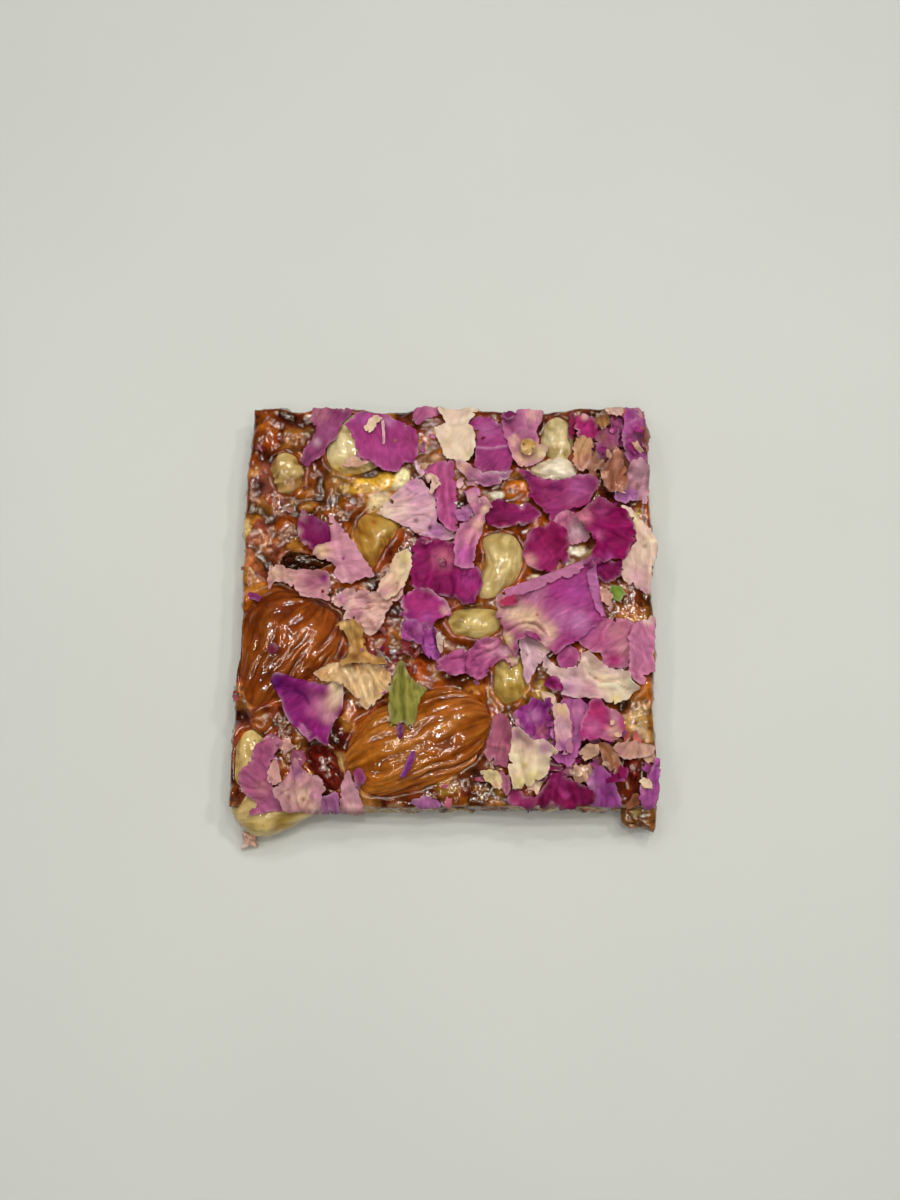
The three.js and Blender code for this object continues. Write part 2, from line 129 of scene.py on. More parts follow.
def noiseAt(points, size, seed=0.0):
    shift = Vector((seed * 7.3, seed * 3.1, seed * 5.7))
    return np.array([noise.noise(Vector(p) / size + shift) for p in points])


# Relief of several sizes added up. Layers: size in mm, height in mm, seed.
def layered(points, layers):
    return sum(height * noiseAt(points, size, seed) for size, height, seed in layers)


# Distance of each point from its pixel in the photo to one given there, in pixels.
def pixelsAway(seen, x, y):
    return np.hypot(seen[:, 0] - x, seen[:, 1] - y)


def smoothCurve(points, perSpan=6, rounding=1.0):
    count = len(points)
    out = []
    for i in range(count):
        a, b, c, d = (points[(i + k) % count] for k in (-1, 0, 1, 2))
        for t in np.arange(perSpan) / perSpan:
            curve = 0.5 * (2 * b + (c - a) * t + (2 * a - 5 * b + 4 * c - d) * t * t
                           + (3 * b - a - 3 * c + d) * t ** 3)
            out.append(rounding * curve + (1 - rounding) * (b + (c - b) * t))
    return np.array(out)


def resample(curve, step):
    ring = np.vstack([curve, curve[:1]])
    along = np.concatenate([[0], np.cumsum(np.linalg.norm(np.diff(ring, axis=0), axis=1))])
    marks = np.linspace(0, along[-1], max(8, int(round(along[-1] / step))) + 1)[:-1]
    return np.stack([np.interp(marks, along, ring[:, k]) for k in range(ring.shape[1])], 1)


def insideOutline(points, outline):
    x, y = points[:, 0], points[:, 1]
    inside = np.zeros(len(points), bool)
    for (ax, ay), (bx, by) in zip(outline, np.roll(outline, -1, 0)):
        if ay != by:
            crosses = (ay > y) != (by > y)
            inside ^= crosses & (x < (bx - ax) * (y - ay) / (by - ay) + ax)
    return inside


def lineDistance(points, line, closed=False):
    line = np.array(line, float)
    ends = np.roll(line, -1, 0) if closed else line[1:]
    starts = line if closed else line[:-1]
    best = np.full(len(points), 1e9)
    for a, b in zip(starts, ends):
        span = b - a
        share = np.clip(((points - a) @ span) / max(span @ span, 1e-12), 0, 1)
        best = np.minimum(best, np.linalg.norm(points - a - share[:, None] * span, axis=1))
    return best


# A map of how high the piece stands, which each new petal is laid on.
mapStep = 0.2
mapHalf = 37.0
mapCells = int(2 * mapHalf / mapStep) + 1
heightMap = np.zeros((mapCells, mapCells))


def stampHeights(places, faces):
    corners = places[faces]
    for a, b in [(a / 4, b / 4) for a in range(5) for b in range(5 - a)]:
        spots = corners[:, 0] * (1 - a - b) + corners[:, 1] * a + corners[:, 2] * b
        i = np.clip(np.round((spots[:, 0] + mapHalf) / mapStep).astype(int), 0, mapCells - 1)
        j = np.clip(np.round((spots[:, 1] + mapHalf) / mapStep).astype(int), 0, mapCells - 1)
        np.maximum.at(heightMap, (j, i), spots[:, 2])


def highestWithin(field, cells):
    out = field.copy()
    for dj in range(-cells, cells + 1):
        for di in range(-cells, cells + 1):
            if 0 < di * di + dj * dj <= cells * cells + 1:
                out = np.maximum(out, np.roll(field, (dj, di), (0, 1)))
    return out


def blurred(field, sigma):
    reach = max(1, int(2.5 * sigma))
    weights = np.exp(-0.5 * (np.arange(-reach, reach + 1) / sigma) ** 2)
    weights /= weights.sum()
    for axis in (0, 1):
        wide = np.pad(field, [(reach, reach) if k == axis else (0, 0) for k in (0, 1)], mode="edge")
        count = field.shape[axis]
        field = sum(w * np.take(wide, np.arange(k, k + count), axis) for k, w in enumerate(weights))
    return field


# What a thin sheet rests on: it touches the high spots under it and bridges the dips.
def restingSurface(points, stiffness):
    margin = 3.0
    lowI, lowJ = ((points.min(0) - margin + mapHalf) / mapStep).astype(int).clip(0)
    highI, highJ = ((points.max(0) + margin + mapHalf) / mapStep).astype(int).clip(0, mapCells - 1)
    window = highestWithin(heightMap[lowJ:highJ, lowI:highI], 1)
    rest = np.maximum(blurred(highestWithin(window, 2), stiffness / mapStep), window)
    rest = np.maximum(blurred(rest, 1.6), window)
    i = np.clip((points[:, 0] + mapHalf) / mapStep - lowI, 0, rest.shape[1] - 1.001)
    j = np.clip((points[:, 1] + mapHalf) / mapStep - lowJ, 0, rest.shape[0] - 1.001)
    i0, j0 = i.astype(int), j.astype(int)
    a, b = i - i0, j - j0
    near = rest[j0, i0] * (1 - a) + rest[j0, i0 + 1] * a
    far = rest[j0 + 1, i0] * (1 - a) + rest[j0 + 1, i0 + 1] * a
    return near * (1 - b) + far * b


def placesOf(piece):
    places = np.zeros(len(piece.data.vertices) * 3, np.float32)
    piece.data.vertices.foreach_get("co", places)
    return places.reshape(-1, 3).astype(float)


def setPlaces(piece, places):
    piece.data.vertices.foreach_set("co", places.astype(np.float32).ravel())
    piece.data.update()


def trianglesOf(piece):
    piece.data.calc_loop_triangles()
    faces = np.zeros(len(piece.data.loop_triangles) * 3, np.int32)
    piece.data.loop_triangles.foreach_get("vertices", faces)
    return faces.reshape(-1, 3)


def edgesOf(piece):
    ends = np.zeros(len(piece.data.edges) * 2, np.int32)
    piece.data.edges.foreach_get("vertices", ends)
    return ends.reshape(-1, 2)


def paint(piece, tint):
    layer = piece.data.attributes.get("tint") or piece.data.attributes.new("tint", "FLOAT_COLOR", "POINT")
    colours = np.ones((len(tint), 4), np.float32)
    colours[:, :3] = np.clip(tint, 0, 1)
    layer.data.foreach_set("color", colours.ravel())


# Colour by place: each spot is a photo pixel, a colour and a radius in pixels.
def tintBySpots(seen, base, spots):
    tint = np.tile(hexLinear(base), (len(seen), 1))
    for x, y, colour, radius in spots:
        tint = mixed(tint, hexLinear(colour), np.exp(-(pixelsAway(seen, x, y) / radius) ** 2.6))
    return tint


def smoothShade(piece):
    piece.data.polygons.foreach_set("use_smooth", np.ones(len(piece.data.polygons), bool))
    piece.data.update()


def activate(piece):
    bpy.ops.object.select_all(action="DESELECT")
    piece.select_set(True)
    bpy.context.view_layer.objects.active = piece


def applyModifier(piece, kind, **settings):
    modifier = piece.modifiers.new(kind.lower(), kind)
    for key, value in settings.items():
        setattr(modifier, key, value)
    activate(piece)
    bpy.ops.object.modifier_apply(modifier=modifier.name)


def faceOutwards(piece):
    activate(piece)
    bpy.ops.object.mode_set(mode="EDIT")
    bpy.ops.mesh.select_all(action="SELECT")
    bpy.ops.mesh.normals_make_consistent(inside=False)
    bpy.ops.object.mode_set(mode="OBJECT")


# Writes a piece's points and colours and adds it to the height map. Points in mm become metres.
def settle(piece, places, tint, thick=0.0):
    setPlaces(piece, places)
    paint(piece, tint)
    stampHeights(places + [0, 0, thick], trianglesOf(piece))
    setPlaces(piece, places * mm)


# Gives a sheet its thickness and its crisp rim.
def thicken(piece, thick, crisp):
    applyModifier(piece, "SOLIDIFY", thickness=thick * mm, offset=1)
    bpy.ops.object.shade_smooth_by_angle(angle=math.radians(crisp))


# Turns points in their own plane by an angle in radians.
def turnedBy(points, angle):
    return np.column_stack([points[:, 0] * math.cos(angle) - points[:, 1] * math.sin(angle),
                            points[:, 0] * math.sin(angle) + points[:, 1] * math.cos(angle)])


def finishPiece(piece, material, nodes=()):
    piece.data.name = piece.name
    piece.data.materials.clear()
    piece.data.materials.append(material)
    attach(piece, "root")
    if nodes:
        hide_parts(*nodes)


def startMaterial(name):
    material = bpy.data.materials.new(name)
    material.use_nodes = True
    return material, material.node_tree, material.node_tree.nodes["Principled BSDF"]


def setInputs(tree, node, values):
    for key, value in values.items():
        if isinstance(value, bpy.types.NodeSocket):
            tree.links.new(value, node.inputs[key])
        else:
            node.inputs[key].default_value = value


def put(tree, kind, inputs=None, **settings):
    node = tree.nodes.new(kind)
    for key, value in settings.items():
        setattr(node, key, value)
    setInputs(tree, node, inputs or {})
    return node


# A material whose colour starts from the tint painted on the piece's points.
def startTinted(name):
    material, tree, shader = startMaterial(name)
    return material, tree, shader, put(tree, "ShaderNodeAttribute", attribute_name="tint").outputs["Color"]


def greys(dark, light, low=0.3, high=0.7):
    return [(low, (dark, dark, dark)), (high, (light, light, light))]


def ramp(tree, fac, stops):
    node = put(tree, "ShaderNodeValToRGB", {"Fac": fac})
    for element, (place, colour) in zip(node.color_ramp.elements, stops):
        element.position = place
        element.color = (*colour, 1)
    return node.outputs["Color"]


# Noise of a real size in mm, with a ramp over it where stops are given.
def cloud(tree, size, detail=3.0, stops=None, rough=0.55):
    vector = put(tree, "ShaderNodeTexCoord").outputs["Object"]
    fac = put(tree, "ShaderNodeTexNoise", {"Vector": vector, "Scale": 1 / (size * mm), "Detail": detail,
                                           "Roughness": rough}).outputs["Fac"]
    return ramp(tree, fac, stops) if stops else fac


def blend(tree, factor, first, second, how="MIX"):
    node = put(tree, "ShaderNodeMix", data_type="RGBA", blend_type=how)
    setInputs(tree, node, {0: factor, 6: first, 7: second})
    return node.outputs[2]


def bump(tree, height, distance, strength, under=None):
    inputs = {"Height": height, "Distance": distance * mm, "Strength": strength}
    if under:
        inputs["Normal"] = under
    return put(tree, "ShaderNodeBump", inputs).outputs["Normal"]


# Boiled sugar, poured over the nuts and set: glassy, amber where thin and red-brown where it burnt,
# with a grainy skin that breaks each highlight into sparks.
def pouredCaramel():
    material, tree, shader, tint = startTinted("pouredCaramel")
    colour = blend(tree, 1.0, tint, cloud(tree, 1.5, 4, greys(0.5, 1.45)), "MULTIPLY")
    colour = blend(tree, 1.0, colour, cloud(tree, 0.5, 3, greys(0.78, 1.2)), "MULTIPLY")
    burnt = cloud(tree, 1.2, 4, [(0.56, (0, 0, 0)), (0.66, (0.8, 0.8, 0.8))], 0.6)
    darker = blend(tree, 1.0, colour, (*hexLinear("#9C603A"), 1), "MULTIPLY")
    colour = blend(tree, burnt, colour, darker)
    coarse = bump(tree, cloud(tree, 0.5, 2, rough=0.45), 0.05, 1.0)
    fine = bump(tree, cloud(tree, 0.4, 3), 0.08, 0.8, coarse)
    setInputs(tree, shader, {"Base Color": colour, "Roughness": 0.25, "Specular IOR Level": 0.06,
                             "Coat Weight": 1.0, "Coat Roughness": 0.03, "Coat IOR": 1.5,
                             "Subsurface Weight": 0.1, "Subsurface Scale": 0.6 * mm,
                             "Subsurface Radius": (1.0, 0.45, 0.2), "Normal": fine, "Coat Normal": coarse})
    return material


# Whole shelled almond: brown wrinkled skin under a thin coat of clear sugar.
def almondSkin():
    material, tree, shader, tint = startTinted("almondSkin")
    colour = blend(tree, 1.0, tint, cloud(tree, 1.1, 4, greys(0.7, 1.25)), "MULTIPLY")
    glaze = bump(tree, cloud(tree, 0.9, 2, rough=0.4), 0.08, 1.0)
    fine = bump(tree, cloud(tree, 0.34, 3, rough=0.6), 0.08, 0.6, glaze)
    setInputs(tree, shader, {"Base Color": colour, "Roughness": 0.3, "Specular IOR Level": 0.05,
                             "Coat Weight": 1.0, "Coat Roughness": 0.03, "Coat IOR": 1.5, "Normal": fine,
                             "Coat Normal": glaze})
    return material


# Cut nut flesh: waxy and pale, browned in spots by roasting, wet-looking where the sugar glazed it.
def glazedNutFlesh():
    material, tree, shader, tint = startTinted("glazedNutFlesh")
    colour = blend(tree, 1.0, tint, cloud(tree, 1.8, 3, greys(0.84, 1.1)), "MULTIPLY")
    mask = cloud(tree, 0.7, 2, [(0.66, (0, 0, 0)), (0.75, (0.7, 0.7, 0.7))], 0.5)
    colour = blend(tree, mask, colour, (*hexLinear("#8A6228"), 1))
    glaze = bump(tree, cloud(tree, 1.0, 2, rough=0.4), 0.08, 1.0)
    fine = bump(tree, cloud(tree, 0.5, 3), 0.08, 0.5, glaze)
    setInputs(tree, shader, {"Base Color": colour, "Roughness": 0.35, "Specular IOR Level": 0.06,
                             "Coat Weight": 0.9, "Coat Roughness": 0.07, "Coat IOR": 1.5,
                             "Subsurface Weight": 0.18, "Subsurface Scale": 0.8 * mm,
                             "Subsurface Radius": (1.0, 0.7, 0.35), "Normal": fine, "Coat Normal": glaze})
    return material


# Dried berries swollen with syrup: almost black red, puckered and very glossy.
def syrupFruitSkin():
    material, tree, shader, tint = startTinted("syrupFruitSkin")
    colour = blend(tree, 1.0, tint, cloud(tree, 0.9, 3, greys(0.55, 1.5)), "MULTIPLY")
    glaze = bump(tree, cloud(tree, 1.3, 2, rough=0.4), 0.12, 1.0)
    fine = bump(tree, cloud(tree, 0.5, 3), 0.15, 0.6, glaze)
    setInputs(tree, shader, {"Base Color": colour, "Roughness": 0.2, "Specular IOR Level": 0.08,
                             "Coat Weight": 1.0, "Coat Roughness": 0.04, "Coat IOR": 1.5, "Normal": fine,
                             "Coat Normal": glaze})
    return material


# Petals dried flat and brittle: a satin skin with fine veins that fan out from the base.
def driedSheet(name, roughness, veinDepth, glaze):
    material, tree, shader, tint = startTinted(name)
    flow = put(tree, "ShaderNodeUVMap", uv_map="flow").outputs["UV"]
    parts = put(tree, "ShaderNodeSeparateXYZ", {"Vector": flow}).outputs
    angle = put(tree, "ShaderNodeMath", {0: parts[0], 1: parts[1]}, operation="ARCTAN2").outputs[0]
    reach = put(tree, "ShaderNodeVectorMath", {0: flow}, operation="LENGTH").outputs["Value"]
    fan = put(tree, "ShaderNodeCombineXYZ", {"X": angle, "Y": reach}).outputs[0]
    stretched = put(tree, "ShaderNodeVectorMath", {0: fan, 1: (26.0, 0.55, 1.0)}, operation="MULTIPLY")
    veins = put(tree, "ShaderNodeTexNoise", {"Vector": stretched.outputs[0], "Scale": 1.0, "Detail": 3.0,
                                             "Roughness": 0.6, "Distortion": 0.4}).outputs["Fac"]
    shade = ramp(tree, veins, greys(1 - veinDepth, 1 + 0.7 * veinDepth))
    colour = blend(tree, 1.0, tint, shade, "MULTIPLY")
    colour = blend(tree, 1.0, colour, cloud(tree, 1.9, 4, greys(0.93, 1.08)), "MULTIPLY")
    veinBump = bump(tree, veins, 0.16, 0.8)
    fine = bump(tree, cloud(tree, 0.36, 4, rough=0.6), 0.06, 0.8, veinBump)
    setInputs(tree, shader, {"Base Color": colour, "Roughness": roughness, "Specular IOR Level": 0.05,
                             "Coat Weight": glaze, "Coat Roughness": 0.08, "Subsurface Weight": 0.12,
                             "Subsurface Scale": 0.25 * mm, "Normal": fine})
    return material


looks = {
    "caramel": pouredCaramel(),
    "almond": almondSkin(),
    "nut": glazedNutFlesh(),
    "fruit": syrupFruitSkin(),
    # dried sheets: roughness, depth of the veins, sugar glaze
    "petal": driedSheet("driedPetal", 0.48, 0.15, 0.0),
    "pale": driedSheet("driedPalePetal", 0.5, 0.07, 0.0),
    "husk": driedSheet("glazedHusk", 0.3, 0.22, 0.6),
    "leaf": driedSheet("driedLeaf", 0.5, 0.2, 0.0),
    "scrap": driedSheet("candiedPetalScraps", 0.45, 0.0, 0.35),
}
print("materials made")

# Caramel slab. Zones: pixel, radius, colour. Chunks: pixel, length, width, rise, turn, colour.
slab = {
    "topHeight": 6.15,      # height of the top in mm, before its relief
    "rimHeight": 6.3,       # heights that pixels of the rims, the inner nut pieces and the nuts are at
    "chunkHeight": 6.8,
    "nutHeight": 7.0,
    "cells": 236,           # of the top's grid, a side
    "sideRows": 20,
    "footRings": 14,
    # relief: size, height, seed
    "pools": [(7.0, 0.4, 2), (3.0, 0.75, 3)],                     # of the top, under the nut pieces
    "crackle": [(1.4, 0.26, 4), (0.65, 0.13, 5)],                 # of the top, over them
    "broken": [(2.6, 0.6, 6), (1.1, 0.42, 7), (0.55, 0.16, 8)],   # of the sides
    # nut pieces inside: spacing, heights of their two layers, half lengths, half heights, all in mm
    "spacing": 5.2,
    "levels": (1.6, 4.1),
    "halves": (1.9, 3.8),
    "depths": (1.2, 2.2),
    "chunkDepth": 2.6,      # half height of the ones placed by the photo
    "tone": (1.3, 0.8, 0.24),      # what the warm light adds to the caramel
    "nutTone": (1.04, 0.94, 0.78),  # and to the nut pieces in it
    "caramel": "#8A4E1C",
    # painted shade for the top's dips
    "pitShade": "#2E0F08",
    "skin": "#4E2210",      # brown skin round the nuts that the cut went through
    "crust": "#C6A87A",     # dull sugar along the near cut
    # scraps of petal soaked in the sugar: colour, size in mm, share of the noise, strength
    "remnants": [("#5C1518", 3.1, 0.16, 0.6), ("#9A5040", 2.2, 0.28, 0.45), ("#BC7E2E", 3.6, 0.2, 0.6),
                 ("#3E160C", 4.4, 0.2, 0.55)],
    "zones": [
        (283, 432, "#743818", 34), (266, 424, "#AC6C2E", 14), (300, 440, "#4A1810", 14),
        (262, 487, "#734E6C", 20), (245, 700, "#7E4058", 22), (428, 442, "#8F4A25", 16),
        (322, 494, "#A07834", 24), (404, 541, "#7A3E1E", 17), (392, 650, "#96404A", 27),
        (638, 724, "#A5853F", 24), (470, 787, "#66421C", 42), (300, 520, "#7A4A30", 24),
        (290, 545, "#4E2214", 16), (258, 552, "#B88C8E", 22), (255, 600, "#A8702F", 14),
        (530, 692, "#A8863A", 20), (340, 738, "#64201A", 18), (470, 500, "#3A1A12", 12),
        (380, 482, "#C8B060", 24), (342, 474, "#C4B068", 12), (540, 480, "#8A4A20", 16),
        (640, 640, "#8E5A30", 20), (600, 470, "#A0684F", 20), (640, 790, "#6A2A1C", 24),
        (620, 770, "#8A4A20", 18), (430, 640, "#8A5A2C", 16), (505, 690, "#A58A3C", 16),
        (300, 715, "#3E1A12", 14),
    ],
    "chunks": [
        (245, 527, 5.0, 3.0, 0.5, 85, "#C8AE72"), (286, 474, 5.5, 4.0, 0.3, 20, "#B09A5E"),
        (515, 487, 5.0, 3.8, 0.9, 20, "#BE6C1A"), (493, 495, 4.6, 2.3, 0.8, 15, "#F0EADC"),
        (578, 550, 4.6, 3.0, 0.4, 10, "#DCD4BC"), (536, 575, 2.8, 2.0, 0.4, 0, "#DCD2B4"),
        (635, 513, 4.6, 3.2, 0.4, 30, "#B7A05A"), (638, 419, 3.2, 2.6, 0.3, 60, "#9A7428"),
        (402, 478, 5.6, 3.8, 0.9, 80, "#E2D8AE"), (632, 608, 6.0, 3.4, 0.4, 10, "#98561E"),
        (643, 687, 5.4, 3.8, 0.7, 70, "#A8641E"),
        (638, 720, 9.4, 7.0, 0.3, 80, "#B89458"), (650, 738, 5.0, 4.0, 0.3, 80, "#A8803C"),
        (262, 775, 5.5, 3.4, 0.3, 60, "#C2A25C"),
        (602, 421, 3.4, 2.2, 0.6, 80, "#B58A3A"), (636, 758, 3.6, 2.6, 0.3, 0, "#A98A50"),
        (364, 485, 9.0, 3.6, 0.8, 8, "#D2A838"), (386, 478, 5.0, 3.4, 0.8, 60, "#CFA63A"),
        (307, 505, 5.0, 3.0, 0.4, 15, "#9A6820"),
        (540, 690, 5.0, 3.6, 0.5, 60, "#B49444"), (446, 790, 5.5, 3.0, 0.4, 0, "#94702C"),
        (505, 790, 4.0, 3.0, 0.3, 0, "#A07A3A"), (412, 795, 5.0, 3.0, 0.3, 8, "#7E3A1A"),
        (380, 640, 4.5, 3.2, 0.5, 40, "#8E3A28"), (405, 665, 3.6, 2.6, 0.5, 10, "#7A2A20"),
        (383, 503, 4.0, 3.0, 0.6, 40, "#D6C694"), (268, 428, 4.0, 3.0, 0.5, 40, "#9A5A28"),
    ],
    "fill": ["#C9B27A", "#B98E48", "#8E4F1E", "#D8C8A0", "#A2662A", "#6E3314", "#BCA364"],
    # the four sides as seen in the photo
    "far": "254,408 275,407 299,412 312,407 352,408 378,412 420,408 463,408 500,410 543,413 570,409 617,406 "
           "645,409",
    "left": "254,408 251,449 247,477 246,505 243,518 245,553 242,581 243,611 241,650 236,681 233,729 231,760 "
            "229,790 229,807",
    "right": "645,409 648,440 649,490 650,515 655,550 650,580 654,616 655,650 655,680 652,710 656,745 "
             "658,780 657,807",
    "near": "229,807 300,808 350,807 400,808 450,806 500,807 550,806 600,807 657,807",
}

# Nuts and fruit. Outline in photo pixels, half height in mm, turn in degrees, depth and number of the
# ridges, colours for the body, for the painted shade in its furrows and for the painted light on its
# ridges, and spots: pixel, colour, radius. A slot is given where it isn't the look's own.
nuts = {
    "almond_front": {
        "look": "almond", "half": 4.0, "turn": 19, "ridge": 0.26, "ridges": 13,
        "colours": ("#A85E22", "#6C2E0C", "#C8864A"), "spots": [(372, 770, "#B06624", 20),
        (470, 704, "#A85C2C", 22), (415, 788, "#8A4518", 18), (402, 748, "#B87232", 18),
        (450, 748, "#94481A", 20)],
        "outline": "342,752 356,721 375,705 400,696 425,689 450,685 472,689 487,702 493,719 487,746 "
        "475,764 450,779 419,790 388,797 364,797 349,782 341,766"},
    "almond_left": {
        "look": "almond", "half": 3.8, "turn": 57, "ridge": 0.27, "ridges": 11, "cut": True,
        "colours": ("#90451C", "#561D09", "#B26A32"), "spots": [(262, 616, "#743416", 20),
        (258, 660, "#844018", 20), (318, 640, "#A25224", 20)],
        "outline": "278,583 303,592 325,602 341,613 344,630 337,652 322,674 298,690 272,704 250,712 "
        "238,690 236,650 238,611 256,590"},
    "cashew_centre": {
        "look": "nut", "half": 2.7, "turn": 73, "ridge": 0.05, "ridges": 5,
        "colours": ("#D0BE82", "#A88C4E", "#E0D4A4"), "spots": [(490, 540, "#B4A060", 9),
        (484, 565, "#C09A4C", 6), (505, 560, "#D8C68A", 14)],
        "outline": "481,538 489,532 503,529 516,534 523,543 526,553 525,564 522,573 517,582 506,588 "
        "496,598 480,600 476,590 480,574 484,560"},
    "cashew_middle": {
        "look": "nut", "half": 2.3, "turn": 4, "ridge": 0.05, "ridges": 5,
        "colours": ("#C4B06A", "#907434", "#D8CA90"), "spots": [(462, 619, "#7A4A1C", 3.2),
        (475, 634, "#CEBE80", 8)],
        "outline": "444,622 450,609 462,605 480,605 496,607 505,618 500,632 486,640 468,639 452,635"},
    "cashew_lower": {
        "look": "nut", "half": 2.6, "turn": 116, "ridge": 0.08, "ridges": 5,
        "colours": ("#BEA658", "#8A6C2C", "#D8C88A"), "spots": [(500, 665, "#CDBA78", 7),
        (512, 685, "#B4963E", 10)],
        "outline": "492,668 498,655 512,650 526,656 532,672 528,690 518,703 504,705 494,694"},
    "cashew_far_left": {
        "look": "nut", "half": 2.5, "turn": 115, "ridge": 0.08, "ridges": 5,
        "colours": ("#DDD0A0", "#B09858", "#E8DEBC"), "spots": [(338, 474, "#C8A84C", 9),
        (360, 474, "#C09432", 9), (330, 450, "#D4C692", 8)],
        "outline": "322,456 326,438 334,422 348,411 360,412 370,424 380,442 386,456 378,467 362,473 "
        "346,477 332,473 324,466"},
    "nut_far_left": {
        "look": "nut", "slot": "golden_nut", "half": 2.5, "turn": 24, "ridge": 0.34, "ridges": 5,
        "colours": ("#C0A868", "#86602C", "#D6C690"), "spots": [(281, 472, "#8A6428", 3),
        (294, 486, "#98602C", 10), (270, 462, "#86542C", 8), (300, 460, "#9C7038", 6)],
        "outline": "266,468 271,455 285,449 299,454 306,468 304,484 292,496 276,492"},
    "nut_golden": {
        "look": "nut", "slot": "golden_nut", "half": 2.6, "turn": 128, "ridge": 0.16, "ridges": 6,
        "colours": ("#B28632", "#7A4A16", "#C8A452"), "spots": [(388, 525, "#BE9E52", 12),
        (362, 528, "#A27022", 9), (374, 560, "#A0762A", 9), (374, 522, "#96501E", 3),
        (372, 533, "#8A5A1C", 2.5)],
        "outline": "352,534 356,518 366,508 382,504 396,512 404,522 396,536 384,552 374,572 362,566 "
        "354,550"},
    "cashew_far_right": {
        "look": "nut", "half": 2.5, "turn": 108, "ridge": 0.06, "ridges": 5,
        "colours": ("#CDBF90", "#98823E", "#DED5B0"), "spots": [(556, 446, "#B89A54", 5),
        (560, 420, "#BEB07C", 8), (548, 440, "#C8BE96", 8)],
        "outline": "541,430 547,418 558,413 570,420 576,436 576,452 568,464 554,466 545,456 540,444"},
    "nut_white": {
        "look": "nut", "half": 2.4, "turn": -14, "ridge": 0.2, "ridges": 5,
        "colours": ("#E4DCC8", "#C2B496", "#F0EAE0"), "spots": [(536, 470, "#D2C6A4", 6)],
        "outline": "528,466 540,458 556,454 572,458 582,468 576,480 560,484 542,482 530,476"},
    "nut_corner_left": {
        "look": "nut", "half": 2.8, "turn": 12, "ridge": 0.08, "ridges": 5,
        "colours": ("#CDB880", "#9A7A3E", "#DDCC9C"), "spots": [(237, 803, "#7A3A24", 4),
        (285, 822, "#A8924C", 12), (258, 826, "#C6AE60", 12)],
        "outline": "229,800 238,786 256,780 280,784 300,798 312,812 301,819 290,826 280,831 266,835 "
        "252,834 240,826 231,814"},
    "nut_edge_left": {
        "look": "nut", "half": 2.4, "turn": 84, "ridge": 0.1, "ridges": 5, "cut": True,
        "colours": ("#CCB678", "#94723A", "#DCCC98"), "spots": [(238, 735, "#C09A34", 7)],
        "outline": "231,780 231,758 233,738 240,726 254,725 266,736 270,752 264,770 252,784 240,796 "
        "233,794"},
    "raisin_left": {
        "look": "fruit", "half": 1.9, "turn": -8, "ridge": 0.28, "ridges": 6,
        "colours": ("#32150C", "#120504", "#5A2A18"), "spots": [],
        "outline": "279,557 288,550 300,550 314,555 330,558 334,563 320,569 302,572 286,570 279,565"},
    "cranberry_front": {
        "look": "fruit", "half": 2.1, "turn": -52, "ridge": 0.3, "ridges": 6,
        "colours": ("#5C1411", "#260404", "#8A2A1E"), "spots": [],
        "outline": "303,752 312,742 326,742 336,750 343,764 344,780 336,792 324,788 312,776 304,764"},
    "cranberry_right": {
        "look": "fruit", "half": 1.9, "turn": 100, "ridge": 0.24, "ridges": 5,
        "colours": ("#6A1E14", "#2C0806", "#94382A"), "spots": [],
        "outline": "625,772 624,758 632,752 641,758 642,772 638,786 630,788"},
    "crumb_corner_right": {
        "look": "almond", "half": 1.5, "turn": 2, "ridge": 0.22, "ridges": 4,
        "colours": ("#84502A", "#4A2410", "#A87A48"), "spots": [(636, 812, "#C4B48A", 4)],
        "outline": "622,806 640,803 657,806 657,820 654,832 644,827 632,828 622,822"},
    "crumb_corner_left": {
        "look": "nut", "slot": "petal_pink", "half": 1.0, "turn": 80, "ridge": 0.1, "ridges": 4,
        "colours": ("#CDA898", "#9A6A5C", "#E2C8BC"), "spots": [(246, 847, "#E8D4CC", 4)],
        "outline": "242,831 250,833 257,832 255,840 257,847 249,846 240,850 243,841"},
}
# What the warm light adds to each look's colours: painted warm light.
nutTones = {"almond": (1.02, 0.94, 0.5), "nut": (1.16, 1.05, 0.92), "fruit": (1.02, 0.94, 0.5)}
sawnFlesh = "#DCC79A"   # of a nut that the left edge cuts through


def outlineOfNut(node, height):
    return fromPhoto(pixelsOf(nuts[node]["outline"]), height)


# Lumps: nut pieces wholly inside the caramel. Some are placed by the photo, the rest fill it.
def makeLumps():
    lumps = []
    depth = slab["chunkDepth"]
    for x, y, length, width, rise, turn, colour in slab["chunks"]:
        place = fromPhoto([(x, y)], slab["chunkHeight"])[0]
        lumps.append((*place, slab["topHeight"] + rise - depth, length / 2, width / 2, depth, turn, colour))
    spacing = slab["spacing"]
    count = int((slabHigh[0] - slabLow[0]) / spacing) + 1
    for i in range(count):
        for j in range(count):
            for level in slab["levels"]:
                shift = randomness.uniform(-1.7, 1.7, 2)
                halves = randomness.uniform(*slab["halves"], 2)
                depth = randomness.uniform(*slab["depths"])
                turn = randomness.uniform(0, 180)
                colour = slab["fill"][randomness.integers(len(slab["fill"]))]
                x = slabLow[0] + (i + 0.5) * spacing + shift[0]
                y = slabLow[1] + (j + 0.5) * spacing + shift[1]
                z = level + randomness.uniform(-0.5, 0.5)
                lumps.append((x, y, z, *halves, depth, turn, colour))
    return lumps


# The numbers of the points along the top's rim, once round.
def rimOrder(cells):
    row = cells + 1
    near = list(range(cells))
    right = [j * row + cells for j in range(cells)]
    far = [cells * row + i for i in range(cells, 0, -1)]
    left = [j * row for j in range(cells, 0, -1)]
    return near + right + far + left


# Distance from a nut's outline in mm, negative inside it.
def gapToNut(points, node):
    outline = outlineOfNut(node, slab["nutHeight"])
    away = lineDistance(points, outline, True)
    return np.where(insideOutline(points, outline), -away, away)


